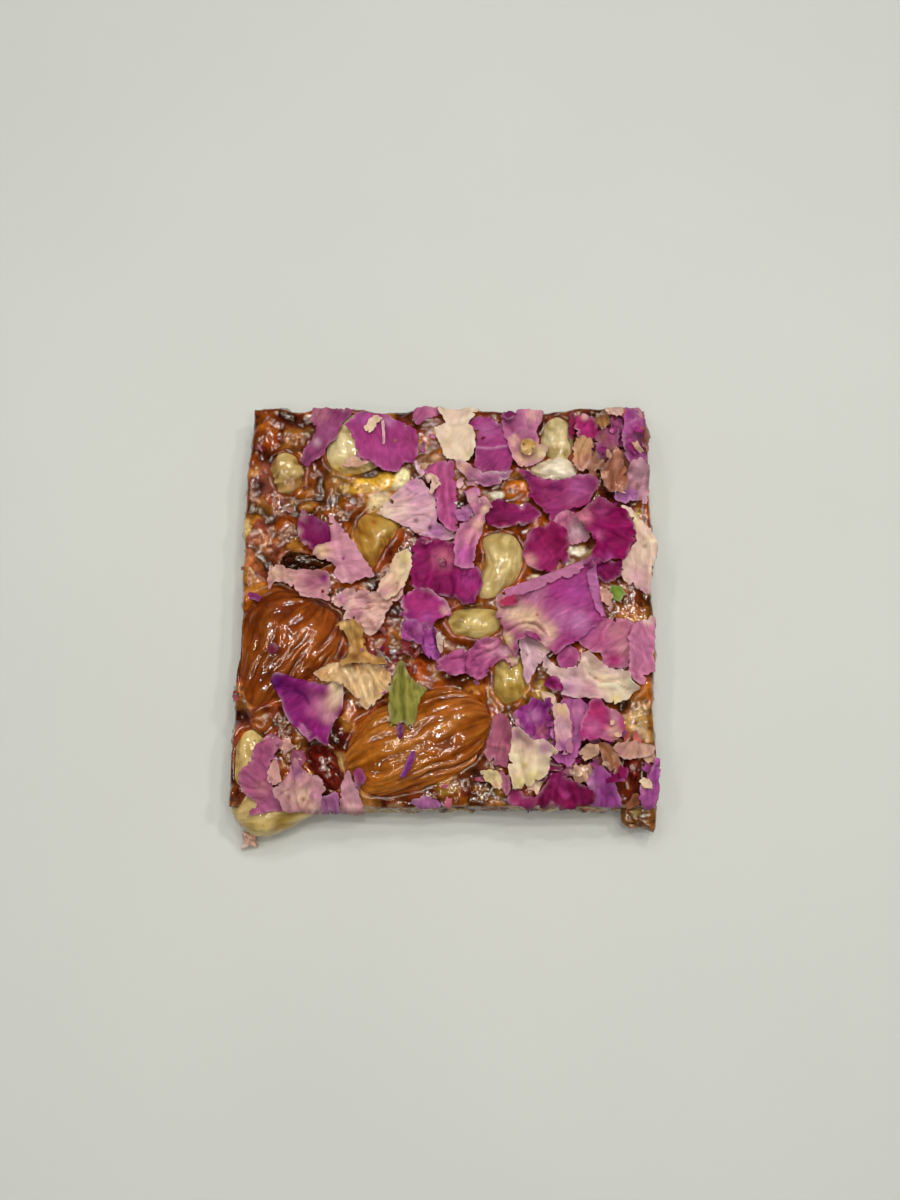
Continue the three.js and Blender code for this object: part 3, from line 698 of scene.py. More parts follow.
# The top is a grid drawn to the four sides in the photo. The broken sides are drawn down row by row
# from its rim, and the foot inwards ring by ring.
def slabMesh(sides):
    cells = slab["cells"]
    bpy.ops.object.select_all(action="DESELECT")
    bpy.ops.mesh.primitive_grid_add(x_subdivisions=cells, y_subdivisions=cells, size=2)
    piece = bpy.context.object
    piece.name = "caramel_slab"
    places = placesOf(piece)
    across, away = (places[:, 0] + 1) / 2, (places[:, 1] + 1) / 2
    lineX = slabLow[0] + across * (slabHigh[0] - slabLow[0])
    lineY = slabLow[1] + away * (slabHigh[1] - slabLow[1])
    leftX = np.interp(lineY, sides["left"][::-1, 1], sides["left"][::-1, 0])
    rightX = np.interp(lineY, sides["right"][::-1, 1], sides["right"][::-1, 0])
    nearY = np.interp(lineX, sides["near"][:, 0], sides["near"][:, 1])
    farY = np.interp(lineX, sides["far"][:, 0], sides["far"][:, 1])
    flat = np.stack([leftX + across * (rightX - leftX), nearY + away * (farY - nearY),
                     np.full(len(places), slab["topHeight"])], 1)
    setPlaces(piece, flat)
    bpy.ops.object.mode_set(mode="EDIT")
    bpy.ops.mesh.select_mode(type="EDGE")
    bpy.ops.mesh.select_all(action="DESELECT")
    bpy.ops.mesh.select_non_manifold()
    drop = slab["topHeight"] / slab["sideRows"]
    for _ in range(slab["sideRows"]):
        bpy.ops.mesh.extrude_region_move(TRANSFORM_OT_translate={"value": (0, 0, -drop)})
    for ring in range(slab["footRings"], 1, -1):
        bpy.ops.mesh.extrude_region_move(TRANSFORM_OT_translate={"value": (0, 0, 0)})
        bpy.ops.transform.resize(value=((ring - 1) / ring, (ring - 1) / ring, 1),
                                 center_override=(*slabMiddle[:2], 0))
    bpy.ops.mesh.edge_face_add()
    bpy.ops.object.mode_set(mode="OBJECT")
    faceOutwards(piece)
    return piece


# Colours the nut pieces where they show, and gives how high they lift the top and how much each
# point of the slab belongs to one.
def embedLumps(places, isTop, tint):
    wobble = 0.28 * noiseAt(places, 2.0, 1)
    raised = np.full(len(places), -1e9)
    lumpShare = np.zeros(len(places))
    for x, y, z, a, b, c, turn, colour in makeLumps():
        near = np.abs(places[:, 0] - x) + np.abs(places[:, 1] - y) < 1.6 * (a + b)
        if not near.any():
            continue
        spot, top = places[near], isTop[near]
        u, v = (turnedBy(spot[:, :2] - (x, y), -math.radians(turn)) / (a, b)).T
        plan = np.sqrt(u * u + v * v) + wobble[near]
        dome = z + c * np.sqrt(np.clip(1 - plan ** 2, 0, 1))
        raised[near] = np.where(top & (plan < 1), np.maximum(raised[near], dome), raised[near])
        solid = np.sqrt(plan ** 2 + ((spot[:, 2] - z) / c) ** 2)
        onTop = np.clip((dome - slab["topHeight"] + 0.1) / 0.35, 0, 1) * (plan < 1)
        share = np.where(top, onTop, np.clip((1.08 - solid) / 0.16, 0, 1))
        husked = np.where(top, 0, 0.8 * np.exp(-((solid - 1.0) / 0.09) ** 2))
        tint[near] = mixed(tint[near], hexLinear(colour) * slab["nutTone"], share)
        tint[near] = mixed(tint[near], hexLinear(slab["skin"]), husked)
        lumpShare[near] = np.maximum(lumpShare[near], share)
    return raised, lumpShare


# The top's heights and colours: nut pieces under the sugar, pools between them, soaked scraps that
# show through it, painted shade in the dips and painted light on the humps, and sugar that creeps up
# round each whole nut.
def meltedTop(top, rim, raised, lumpShare, tint):
    z = slab["topHeight"] - 0.05 + layered(top, slab["pools"])
    z = np.where(raised > z, z + 0.8 * (raised - z), z)
    z += layered(top, slab["crackle"])
    warped = top + 0.9 * np.stack([noiseAt(top, 1.1, 31), noiseAt(top, 1.1, 32), 0 * z], 1)
    for colour, size, above, strength in slab["remnants"]:
        share = np.clip((noiseAt(warped, size, 20 + size) - above) / 0.12, 0, 1) * strength
        share *= 1 - lumpShare
        tint = mixed(tint, hexLinear(colour), share)
        z += 0.1 * share
    square = z.reshape(slab["cells"] + 1, slab["cells"] + 1)
    # painted shade and light: dips are darkened towards the pit colour, humps are lightened
    reliefShade = np.clip((square - blurred(square, 9)).ravel() / 0.5, -1, 1)
    tint = tint * (1 + 0.4 * reliefShade)[:, None]
    tint = mixed(tint, hexLinear(slab["pitShade"]), np.clip(-reliefShade * 1.1 - 0.1, 0, 0.75))
    for node in nuts:
        if not node.startswith("crumb"):
            away = gapToNut(top[:, :2], node)
            z += 0.5 * np.exp(-(away / 0.7) ** 2)
            z -= 1.2 * np.clip(-away / 2.0, 0, 1)
    z -= 0.45 * np.exp(-(lineDistance(top[:, :2], rim, True) / 0.28) ** 1.5)   # the rim is rounded off
    return z, tint


# The sides: their rows follow the top's rim, and nut pieces stand out of the broken sugar.
def brokenSides(wanted, rim, rimHeights, lumpShare):
    plan = wanted[:, :2]
    rimZ = np.concatenate([rimHeights[((part[:, None] - rim[None]) ** 2).sum(2).argmin(1)]
                           for part in np.array_split(plan, 12)])
    down = np.clip(1 - wanted[:, 2] / slab["topHeight"], 0, 1)   # 0 at the rim, 1 at the foot
    out = plan - slabMiddle[:2]
    out /= np.abs(out).max(1, keepdims=True)
    out = np.where(np.abs(out) > 0.985, np.sign(out), 0)
    out /= np.linalg.norm(out, axis=1, keepdims=True)
    places = np.column_stack([plan, rimZ * (1 - down)])
    chipped = np.clip(4 * noiseAt(places, 3.2, 9) - 0.6, 0, 1)
    rough = layered(places, slab["broken"]) - 0.25 * chipped
    taper = np.clip(down * 6, 0, 1) * np.clip((1 - down) * 8, 0.3, 1)
    places[:, :2] += out * ((rough + 0.3 * lumpShare - 0.1) * taper)[:, None]
    return places


def buildSlab():
    cells = slab["cells"]
    names = ("far", "left", "right", "near")
    sides = {name: fromPhoto(pixelsOf(slab[name]), slab["rimHeight"]) for name in names}
    piece = slabMesh(sides)
    places = placesOf(piece)
    topCount = (cells + 1) ** 2
    isTop = np.arange(len(places)) < topCount
    isFoot = np.arange(len(places)) >= topCount + slab["sideRows"] * 4 * cells
    side = ~isTop & ~isFoot
    rim = places[rimOrder(cells), :2]
    tint = tintBySpots(toPhoto(places), slab["caramel"], slab["zones"]) * slab["tone"]
    raised, lumpShare = embedLumps(places, isTop, tint)
    places[isTop, 2], tint[isTop] = meltedTop(places[isTop], rim, raised[isTop], lumpShare[isTop],
                                              tint[isTop])
    places[side] = brokenSides(places[side], rim, places[rimOrder(cells), 2], lumpShare[side])
    places[isFoot, 2] = 0.25 * np.clip(noiseAt(places[isFoot], 2.4, 11), 0, 1)
    patchy = (0.85 + 0.9 * noiseAt(places[~isTop], 1.3, 13)).clip(0.5, 1.5)
    tint[~isTop] *= (patchy + (1.05 - patchy) * 0.8 * lumpShare[~isTop])[:, None]
    nearY = np.interp(places[:, 0], sides["near"][:, 0], sides["near"][:, 1])
    crusted = np.exp(-((places[:, 1] - nearY) / 0.5) ** 2)
    crusted *= np.clip(0.1 + 2.2 * noiseAt(places * [0.5, 1, 2.5], 1.0, 12), 0, 0.6) * (places[:, 2] > 3.5)
    settle(piece, places, mixed(tint, hexLinear(slab["crust"]), crusted))
    smoothShade(piece)
    finishPiece(piece, looks["caramel"], ["brittle_slab"])


buildSlab()
print("slab made")


# A nut is a ball drawn out to the outline in the photo, with ridges along its length.
def buildNut(node):
    spec = nuts[node]
    isCrumb = node.startswith("crumb")
    big = spec["look"] == "almond" and not isCrumb
    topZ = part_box(node)[1][2] / mm
    curve = smoothCurve(outlineOfNut(node, topZ - 0.35 * spec["half"]), 6, 0.1 if isCrumb else 1.0)
    outline = resample(curve, 0.2)
    centre = (outline.min(0) + outline.max(0)) / 2
    around = outline - centre
    angles = np.arctan2(around[:, 1], around[:, 0])
    order = np.argsort(angles)
    reach = np.linalg.norm(around, axis=1)
    bpy.ops.object.select_all(action="DESELECT")
    bpy.ops.mesh.primitive_uv_sphere_add(segments=160 if big else 64, ring_count=112 if big else 48, radius=1)
    piece = bpy.context.object
    piece.name = node + "_kernel"
    ball = placesOf(piece)
    ball = np.stack([ball[:, 2], ball[:, 1], -ball[:, 0]], 1)   # poles at the two tips
    if isCrumb:   # broken off square
        ball[:, 2] = np.sign(ball[:, 2]) * np.abs(ball[:, 2]) ** 0.55
    plan = turnedBy(ball, math.radians(spec["turn"]))
    heading = np.arctan2(plan[:, 1], plan[:, 0])
    radius = np.interp(heading, angles[order], reach[order], period=2 * math.pi)
    girth = np.arctan2(ball[:, 2], ball[:, 1]) * spec["ridges"]
    streak = np.stack([ball[:, 0] * 1.1, girth / 3.2, np.full(len(ball), topZ)], 1)
    lines = np.tanh(2.2 * noiseAt(streak, 0.5, 8))   # 1 on a ridge, -1 in a furrow
    fine = noiseAt(np.stack([ball[:, 0] * 1.6, girth / 1.5, ball[:, 2]], 1), 0.35, 9)
    fade = np.clip((1 - np.abs(ball[:, 0])) * 5, 0.15, 1)
    swell = spec["ridge"] * fade * (lines + 0.5 * fine)
    places = np.column_stack([centre + plan * radius[:, None], topZ + (ball[:, 2] - 1) * spec["half"]])
    outward = np.column_stack([plan * 0.8, ball[:, 2]])
    places += outward * swell[:, None]
    places += 0.12 * outward * noiseAt(places, 1.6, 10)[:, None]
    body, furrow, ridge = spec["colours"]
    tint = tintBySpots(toPhoto(places), body, spec["spots"])
    # painted shade in the furrows and painted light on the ridges
    tint = mixed(tint, hexLinear(furrow), 0.8 * np.clip(-lines, 0, 1))
    tint = mixed(tint, hexLinear(ridge), 0.6 * np.clip(lines - 0.2, 0, 1))
    tint *= (1 + (0.55 if big else 0.3) * fine)[:, None].clip(0.6, 1.4)
    if spec.get("cut"):   # sawn through at the left edge: flat, with pale flesh inside a brown rim
        line = fromPhoto(pixelsOf(slab["left"]), slab["rimHeight"])[::-1]
        edge = np.interp(places[:, 1], line[:, 1], line[:, 0])
        over = edge - places[:, 0]
        places[:, 0] = np.maximum(places[:, 0], edge - 0.03 * np.clip(over, 0, 1))
        tint = mixed(tint, hexLinear(sawnFlesh), np.clip(over / 0.35, 0, 1))
    places[:, 2] = np.maximum(places[:, 2], 0.02)
    settle(piece, places, tint * nutTones[spec["look"]])
    smoothShade(piece)
    faceOutwards(piece)
    finishPiece(piece, looks[spec["look"]], [node])


for node in nuts:
    buildNut(node)
print("nuts and fruit made")

# Petals, from the lowest to the one on top, under the names of the CAD nodes they stand for, with
# small loose ones between. All places are photo pixels, heights and half widths mm.
# outline: its rim. tints: pixel, colour, radius. base: where the veins start. bumps: pixel, height,
# radius. ridges: line, height, half width. lines: line, colour, half width. folds: line that a part of
# the rim is folded back over, that part as seen, radius of the fold, colour of the back.
petalUsual = {
    "kind": "purple",
    "base": None,      # the outline's first point, if not given
    "rim": 0.25,       # how far the rim curls up
    "ruffle": 0.22,    # waves along the rim
    "wrinkle": 0.16,   # depth of the creases
    "stiff": 1.0,      # how wide a dip it bridges
    "lift": 0.06,      # above what it lies on
    "jag": 0.13,       # how torn the rim is
    "paleRim": 0.2,    # how much paler the rim is
    "thick": 0.1,      # of the sheet, in mm
    "tints": [], "bumps": [], "ridges": [], "lines": [], "folds": [],
}
# kinds: look and material slot
petalKinds = {
    "purple": ("petal", "petal_purple"), "pink": ("petal", "petal_pink"), "cream": ("pale", "petal_cream"),
    "husk": ("husk", "husk"), "sepal": ("husk", "petal_pink"), "leaf": ("leaf", "green_leaf"),
}
petalHeight = 7.5     # mm, roughly what petals lie at
sheetTop = 11.1       # mm, and above this they are pressed flatter
paleRimColour = "#E6C8CC"   # pale colour laid along the rims
petals = {
    "petal_far_left": {
        "colour": "#8C4274", "base": (300, 480), "stiff": 0.7, "tints": [(320, 414, "#A86A88", 10),
        (341, 414, "#7C3264", 9), (317, 442, "#B088A8", 4.5), (306, 460, "#7E3868", 8),
        (328, 432, "#904C80", 8)],
        "outline": "313,407 334,409 355,410 344,424 337,439 328,446 319,458 306,468 301,461 306,447 "
        "317,433 310,420"},
    "petalBitFarLilac": {
        "colour": "#A85A90", "base": (440, 400), "tints": [(432, 412, "#B8749C", 6)],
        "outline": "413,420 414,410 424,408 439,407 438,417 426,421 418,425"},
    "petal_far_orchid": {
        "colour": "#9C3B82", "base": (372, 400), "stiff": 0.9, "wrinkle": 0.08,
        "tints": [(362, 418, "#A5509A", 9), (388, 420, "#B273AA", 6), (388, 456, "#A3428C", 16),
        (411, 440, "#9A3A7C", 9), (395, 440, "#7A4436", 2.2), (395, 440, "#B88A98", 1.0)],
        "bumps": [(385, 445, 0.25, 16)], "ridges": [([(382, 421), (384, 443)], 0.18, 0.3)],
        "outline": "346,428 353,419 361,410 373,413 385,412 399,421 416,430 419,449 416,460 406,462 "
        "398,470 384,471 375,464 362,460 356,457 356,446 353,438"},
    "petalBitCreamPatch": {
        "kind": "cream", "colour": "#E6CFB8", "base": (380, 405), "rim": 0.15,
        "outline": "363,430 369,418 378,413 383,419 376,424 370,433"},
    "petalBitPaleLine": {
        "kind": "pink", "colour": "#DDB2C4", "base": (384, 400), "rim": 0.05, "jag": 0.03,
        "outline": "381,421 384,420 385,432 385,444 383,444 382,432"},
    "petalBitPinkSliver": {
        "kind": "pink", "colour": "#DDB3A4", "base": (372, 464),
        "outline": "343,466 348,459 354,456 360,460 370,462 362,466 352,466"},
    "petal_far_middle": {
        "colour": "#9A3C82", "base": (520, 430), "stiff": 0.8, "wrinkle": 0.08,
        "tints": [(487, 430, "#AA5C9E", 9), (470, 422, "#8A2C72", 7), (508, 434, "#B988A6", 5),
        (490, 465, "#8F3476", 10)], "ridges": [([(474, 448), (512, 446)], 0.16, 0.35)],
        "lines": [([(472, 447), (492, 449), (513, 445)], "#C892B0", 0.13)],
        "outline": "462,422 472,417 481,416 495,420 505,430 513,440 513,458 510,470 500,474 490,475 "
        "481,472 473,466 476,448 477,434 469,426"},
    "petal_far_cream": {
        "kind": "cream", "colour": "#E4D2C4", "base": (475, 400), "stiff": 1.2, "wrinkle": 0.07,
        "tints": [(455, 413, "#E8CEC6", 12), (446, 442, "#DCC8B2", 7), (470, 456, "#D8CCAE", 6),
        (461, 430, "#EAD8C8", 8)], "ridges": [([(437, 425), (455, 424), (470, 422)], -0.2, 0.35),
        ([(446, 434), (466, 458)], 0.15, 0.5)],
        "outline": "438,407 462,407 480,409 474,417 468,424 473,430 475,437 475,445 472,455 468,462 "
        "453,460 445,459 441,449 437,436 435,427 446,423 442,416"},
    "petal_far_pink": {
        "kind": "pink", "colour": "#B0689C", "base": (534, 452), "stiff": 0.8,
        "tints": [(533, 414, "#D0A0A8", 8), (512, 424, "#9E5088", 9), (527, 430, "#AC6E98", 8),
        (514, 440, "#D6AAA6", 6), (522, 456, "#DFB4A8", 11), (540, 452, "#E4CEAA", 9)],
        "ridges": [([(502, 427), (520, 440)], 0.2, 0.3)],
        "outline": "500,420 503,412 516,409 527,406 544,410 541,422 537,432 541,443 548,450 543,460 "
        "534,465 521,466 513,458 508,446 503,434"},
    "petalBitSeedDisc": {
        "kind": "husk", "colour": "#B08C48", "base": (528, 420), "rim": 0.05, "ruffle": 0.05,
        "wrinkle": 0.05, "jag": 0.03, "thick": 0.3, "lift": 0.05, "tints": [(528, 447, "#BE9A58", 5),
        (524, 445, "#3E2612", 1.5), (532, 449, "#4A3018", 1.3)], "bumps": [(528, 447, 0.35, 6)],
        "outline": "528,439 533,441 536,446 535,451 531,455 526,455 521,452 520,446 523,441"},
    "petalBitFarPlum": {
        "colour": "#7E2468", "base": (520, 410),
        "outline": "500,418 503,411 512,411 518,415 512,419 506,423"},
    "petalBitMaroonSliver": {
        "colour": "#7A1F48", "base": (572, 405),
        "outline": "568,430 569,413 575,411 577,424 573,440 568,442"},
    "petalBitMagenta": {
        "colour": "#A6286F", "base": (585, 405), "rim": 0.5, "paleRim": 0.4,
        "tints": [(585, 415, "#D9A8B2", 4.5), (585, 430, "#B03080", 8)], "bumps": [(586, 428, 0.5, 7)],
        "outline": "575,425 577,416 586,413 593,416 597,426 597,437 590,442 580,438 574,432"},
    "petalBitPapery": {
        "kind": "pink", "colour": "#C79A78", "base": (580, 478), "jag": 0.2, "ruffle": 0.4, "wrinkle": 0.25,
        "tints": [(583, 444, "#D0AC84", 5), (580, 464, "#D09A92", 7), (588, 456, "#B07C6C", 4)],
        "outline": "573,447 576,438 585,437 592,443 594,456 590,468 580,470 573,460"},
    "petalBitPodGold": {
        "kind": "husk", "colour": "#9A7040", "base": (603, 403), "wrinkle": 0.2, "jag": 0.16,
        "tints": [(600, 418, "#7E5030", 4), (607, 426, "#B48A50", 4)],
        "outline": "595,425 597,414 603,409 609,412 611,422 607,431 600,433"},
    "petalBitSepalLeft": {
        "kind": "husk", "colour": "#B07C64", "base": (598, 485), "wrinkle": 0.24, "jag": 0.18,
        "tints": [(600, 452, "#C09078", 5), (594, 470, "#8E5844", 4)], "ridges": [([(605, 449),
        (593, 474)], 0.35, 0.35)],
        "outline": "590,462 596,452 604,446 610,452 606,462 602,472 594,477 589,470"},
    "petalBitSepalFar": {
        "kind": "husk", "colour": "#A86E5C", "base": (630, 490), "wrinkle": 0.24, "jag": 0.18,
        "tints": [(627, 452, "#8C5A66", 4), (633, 474, "#BE8A78", 5)], "ridges": [([(627, 450),
        (630, 477)], 0.4, 0.35)],
        "outline": "615,470 617,460 623,452 627,446 632,455 636,468 638,480 630,478 622,476"},
    "petalBitFarViolet": {
        "colour": "#8C4078", "base": (618, 408), "wrinkle": 0.26, "ruffle": 0.4, "jag": 0.2,
        "tints": [(615, 422, "#A0507E", 5), (625, 438, "#783066", 5)], "ridges": [([(612, 424), (624, 430),
        (627, 444)], 0.45, 0.35)],
        "outline": "609,432 611,420 618,414 623,418 628,414 631,424 627,434 629,444 621,449 613,444"},
    "petalBitFarBlush": {
        "colour": "#A85C8C", "base": (636, 400), "wrinkle": 0.24, "jag": 0.18,
        "tints": [(640, 412, "#C88CA4", 5), (634, 424, "#8C3A76", 5)],
        "outline": "628,418 633,408 640,407 646,413 644,424 637,430 630,427"},
    "petalBitFarRose": {
        "kind": "pink", "colour": "#DDB8B0", "base": (614, 400),
        "outline": "604,410 612,407 623,407 621,418 614,424 607,418"},
    "petalBitRightBrown": {
        "colour": "#93487A", "base": (606, 425), "wrinkle": 0.28, "jag": 0.2,
        "tints": [(603, 436, "#A86A70", 5), (612, 448, "#8A5A5C", 6)],
        "outline": "594,442 597,431 606,428 618,430 619,444 612,456 600,456"},
    "petalBitRightOrchid": {
        "colour": "#A2509A", "base": (632, 400), "tints": [(628, 416, "#9A3F94", 5)],
        "outline": "622,428 624,412 632,408 639,410 638,424 631,434 624,436"},
    "petal_far_right": {
        "colour": "#A24E96", "base": (652, 480), "tints": [(640, 436, "#AC60A4", 9),
        (626, 444, "#8C3E7C", 6), (640, 460, "#A04C92", 9)],
        "outline": "619,440 624,430 634,424 645,418 648,430 648,450 648,468 636,469 626,462 621,452"},
    "petalBitRightLilac": {
        "kind": "pink", "colour": "#C294AE", "base": (655, 470), "tints": [(637, 484, "#A07060", 2.2),
        (641, 497, "#9A6A58", 2.4), (633, 496, "#B878BC", 7)],
        "outline": "626,484 629,468 640,463 649,466 650,486 648,503 638,500 630,494"},
    "petalBitRightMauve": {
        "kind": "pink", "colour": "#B577BC", "base": (645, 495),
        "outline": "614,496 618,491 628,491 638,494 634,501 624,503 617,501"},
    "petalBitSepal": {
        "kind": "sepal", "colour": "#A8705A", "base": (614, 498), "wrinkle": 0.25,
        "tints": [(617, 464, "#C08A78", 5), (610, 480, "#94604A", 7), (624, 484, "#B47A66", 5)],
        "ridges": [([(614, 454), (618, 488)], 0.4, 0.5), ([(607, 464), (609, 484)], 0.3, 0.4)],
        "outline": "602,470 608,460 615,450 621,458 626,470 629,482 628,490 616,489 606,486"},
    "petal_mauve_fold": {
        "kind": "pink", "colour": "#B277A0", "base": (450, 460), "rim": 0.5, "paleRim": 0.6,
        "tints": [(462, 468, "#DDB0A6", 7), (490, 481, "#AC6CA0", 10)], "ridges": [([(463, 467), (480, 476),
        (498, 478)], 0.5, 0.45)],
        "outline": "454,463 462,462 473,469 486,475 500,474 513,470 508,480 497,486 484,486 470,481 "
        "459,474"},
    "petal_maroon": {
        "colour": "#821A5C", "base": (480, 520), "paleRim": 0.35, "tints": [(500, 522, "#6E1048", 8),
        (505, 526, "#A03C6A", 3), (520, 512, "#8C2068", 10)],
        "outline": "484,514 490,504 498,500 514,505 527,504 541,511 541,516 526,524 510,528 497,530 "
        "490,524"},
    "petal_upper_plum": {
        "colour": "#94306F", "base": (604, 480), "rim": 0.4, "stiff": 1.2,
        "tints": [(535, 492, "#8C2067", 10), (580, 488, "#A9549A", 13), (556, 506, "#94307A", 8),
        (528, 474, "#5E1450", 6), (556, 484, "#7E2268", 6), (572, 500, "#A04A80", 7)],
        "ridges": [([(522, 471), (540, 482), (560, 484)], 0.45, 0.4)],
        "outline": "518,468 527,470 538,476 548,480 560,480 572,476 586,476 597,481 599,490 592,497 "
        "586,507 573,508 564,513 557,523 550,520 543,508 533,502 529,497 529,484"},
    "petalBitGreyLilac": {
        "kind": "pink", "colour": "#BC7FA0", "base": (560, 508), "wrinkle": 0.28,
        "tints": [(578, 530, "#C2A4BA", 9), (562, 520, "#BE6E9C", 7)],
        "outline": "553,522 560,514 571,512 585,515 592,524 590,537 580,543 569,544 560,536"},
    "petal_magenta_cup": {
        "colour": "#8E1A5E", "base": (520, 575), "rim": 0.6, "stiff": 1.2,
        "tints": [(550, 540, "#8A1558", 12), (544, 556, "#A32B76", 8), (530, 560, "#D79AA8", 7),
        (530, 536, "#A0407E", 5), (561, 560, "#7A1450", 5)],
        "outline": "524,545 527,533 532,528 543,528 551,521 556,525 565,532 570,545 565,550 569,557 "
        "565,563 557,564 552,571 540,570 528,567 523,556"},
    "petal_blush_right": {
        "kind": "pink", "colour": "#DCC2BC", "base": (648, 600), "stiff": 1.6, "wrinkle": 0.08, "rim": 0.5,
        "tints": [(634, 519, "#E6D0B4", 9), (650, 540, "#E0C8B6", 6), (638, 576, "#CFA6B6", 11),
        (644, 592, "#C494B4", 6), (645, 546, "#9A8A7A", 2.2)], "ridges": [([(624, 512), (640, 524),
        (650, 542)], 0.5, 0.5), ([(622, 560), (640, 566)], 0.2, 0.4)],
        "outline": "620,508 628,510 638,518 647,526 653,536 657,547 656,557 652,567 650,581 649,595 "
        "642,594 635,588 624,581 621,570 622,560 629,552 636,540 632,524"},
    "petalBitRightPlum": {
        "colour": "#720F50", "base": (600, 550), "tints": [(600, 566, "#8E2470", 4)],
        "outline": "592,562 605,560 621,562 620,577 607,584 595,578"},
    "petal_ruffled_plum": {
        "colour": "#8A0C5E", "base": (570, 512), "rim": 0.7, "ruffle": 0.5, "stiff": 1.4,
        "tints": [(583, 517, "#CC7E9C", 9), (600, 508, "#B0468C", 9), (600, 535, "#B85C9C", 5.5),
        (618, 535, "#840A58", 14), (608, 556, "#9E3E8E", 6), (593, 560, "#A85AA0", 5)],
        "ridges": [([(584, 518), (597, 532), (600, 552)], 0.4, 0.6)],
        "outline": "572,517 582,512 590,505 598,500 606,502 614,508 624,512 631,519 635,529 637,539 "
        "630,545 630,553 624,560 614,559 607,561 602,566 595,567 589,563 592,553 594,545 "
        "590,535 583,525"},
    "petal_pale_lilac": {
        "kind": "pink", "colour": "#D2AAC0", "base": (372, 516), "stiff": 1.3,
        "tints": [(385, 513, "#EAD2C6", 10), (400, 508, "#E0C2C4", 9), (420, 494, "#C89ABC", 12),
        (437, 530, "#B378B4", 11), (416, 520, "#5A4246", 2.4), (416, 520, "#B08A90", 1.0),
        (430, 526, "#4A3238", 2.3), (412, 483, "#BE84B6", 7)], "ridges": [([(384, 512), (404, 506),
        (424, 506)], 0.2, 0.4)],
        "outline": "376,515 386,504 397,491 406,483 418,477 426,486 434,497 438,511 438,521 448,530 "
        "458,536 444,540 430,539 419,534 411,531 399,524 389,519"},
    "petal_middle_magenta": {
        "colour": "#861560", "base": (470, 530), "rim": 0.3, "wrinkle": 0.2, "stiff": 1.1,
        "tints": [(420, 560, "#8E1A6A", 11), (443, 558, "#B46284", 11), (436, 588, "#6C0A48", 10),
        (448, 596, "#6E0A42", 7), (468, 580, "#93307E", 11), (470, 600, "#8A2A74", 6)],
        "ridges": [([(428, 540), (434, 565), (426, 586)], 0.4, 0.4), ([(458, 566), (456, 598)], 0.35, 0.4)],
        "outline": "411,548 417,540 428,538 441,540 455,543 457,560 462,567 478,567 482,580 479,594 "
        "474,606 463,605 456,598 446,598 434,593 424,591 413,588 410,570"},
    "petal_ridged": {
        "colour": "#B45494", "base": (440, 450), "rim": 0.3, "stiff": 1.2,
        "tints": [(446, 470, "#BC62A2", 7), (452, 510, "#B05A9C", 8)], "ridges": [([(444, 464), (447, 490),
        (450, 528)], 0.4, 0.35), ([(452, 466), (456, 520)], 0.3, 0.3), ([(436, 478), (442, 505)], 0.3, 0.3)],
        "outline": "424,472 430,463 440,462 447,460 454,462 453,477 456,491 456,507 459,520 458,533 "
        "446,530 438,519 437,507 436,490 430,480"},
    "petalBitWhiteSliver": {
        "kind": "pink", "colour": "#DDB6CC", "base": (412, 458), "jag": 0.03,
        "outline": "414,461 417,460 421,468 425,475 422,478 418,472"},
    "petalBitCreamFleck": {
        "kind": "cream", "colour": "#E4C6BC", "base": (425, 470), "rim": 0.4,
        "outline": "425,475 432,473 436,478 441,484 436,489 431,493 429,484"},
    "petal_funnel": {
        "kind": "pink", "colour": "#BE74A8", "base": (488, 500), "rim": 0.5, "stiff": 1.4,
        "tints": [(472, 498, "#D2A2B4", 6), (486, 510, "#EAC8B8", 6), (478, 524, "#DFB2AE", 7),
        (469, 534, "#CC8CA8", 8), (463, 556, "#B058A4", 10)], "ridges": [([(484, 509), (472, 530),
        (462, 560)], 0.45, 0.5), ([(480, 522), (474, 556)], 0.35, 0.35)],
        "outline": "465,495 470,489 477,492 480,501 489,506 492,511 485,514 484,526 481,536 476,546 "
        "475,558 473,568 463,569 455,565 454,550 455,538 459,527 468,522 475,515 470,507"},
    "petalBitLilacTuck": {
        "colour": "#B070AE", "base": (475, 510),
        "outline": "455,511 462,508 471,510 472,517 466,523 458,521"},
    "petal_violet": {
        "colour": "#A83888", "base": (400, 625), "rim": 0.6, "paleRim": 0.5, "stiff": 1.1,
        "tints": [(420, 602, "#B03488", 11), (445, 610, "#D8A8B0", 5), (408, 618, "#8E2A80", 8),
        (428, 620, "#A0489A", 8)],
        "outline": "404,594 412,590 424,589 434,593 443,599 450,607 451,614 444,618 437,620 432,626 "
        "424,630 412,627 404,620 400,608"},
    "petalBitVioletRuffle": {
        "colour": "#9E469C", "base": (420, 615), "wrinkle": 0.5, "ruffle": 0.4, "rim": 0.5,
        "tints": [(412, 632, "#8A3A78", 7), (432, 648, "#A85CAE", 8), (420, 628, "#B06AA8", 5)],
        "outline": "402,624 412,620 424,624 434,630 441,638 443,650 437,660 428,658 421,648 412,642 "
        "402,640"},
    "petalBitWhiteTear": {
        "kind": "cream", "colour": "#E2CCC4", "base": (445, 630), "jag": 0.03, "lift": 0.3,
        "outline": "436,637 440,634 443,640 443,650 440,652 437,645"},
    "petal_long_ruffle": {
        "kind": "pink", "colour": "#B05C98", "base": (520, 640), "wrinkle": 0.36, "ruffle": 0.6, "rim": 0.6,
        "stiff": 1.1, "tints": [(448, 664, "#A84E8C", 10), (470, 662, "#A85090", 9),
        (492, 648, "#CC8CB0", 9), (506, 652, "#D2A0BC", 8), (514, 660, "#E0CCA8", 6),
        (480, 674, "#A04A84", 6)], "ridges": [([(476, 650), (496, 644), (512, 650)], 0.4, 0.4),
        ([(478, 658), (492, 654)], 0.4, 0.35), ([(482, 668), (490, 660)], 0.35, 0.3)],
        "outline": "436,664 443,655 452,654 460,648 469,652 477,642 488,638 500,640 510,645 518,652 "
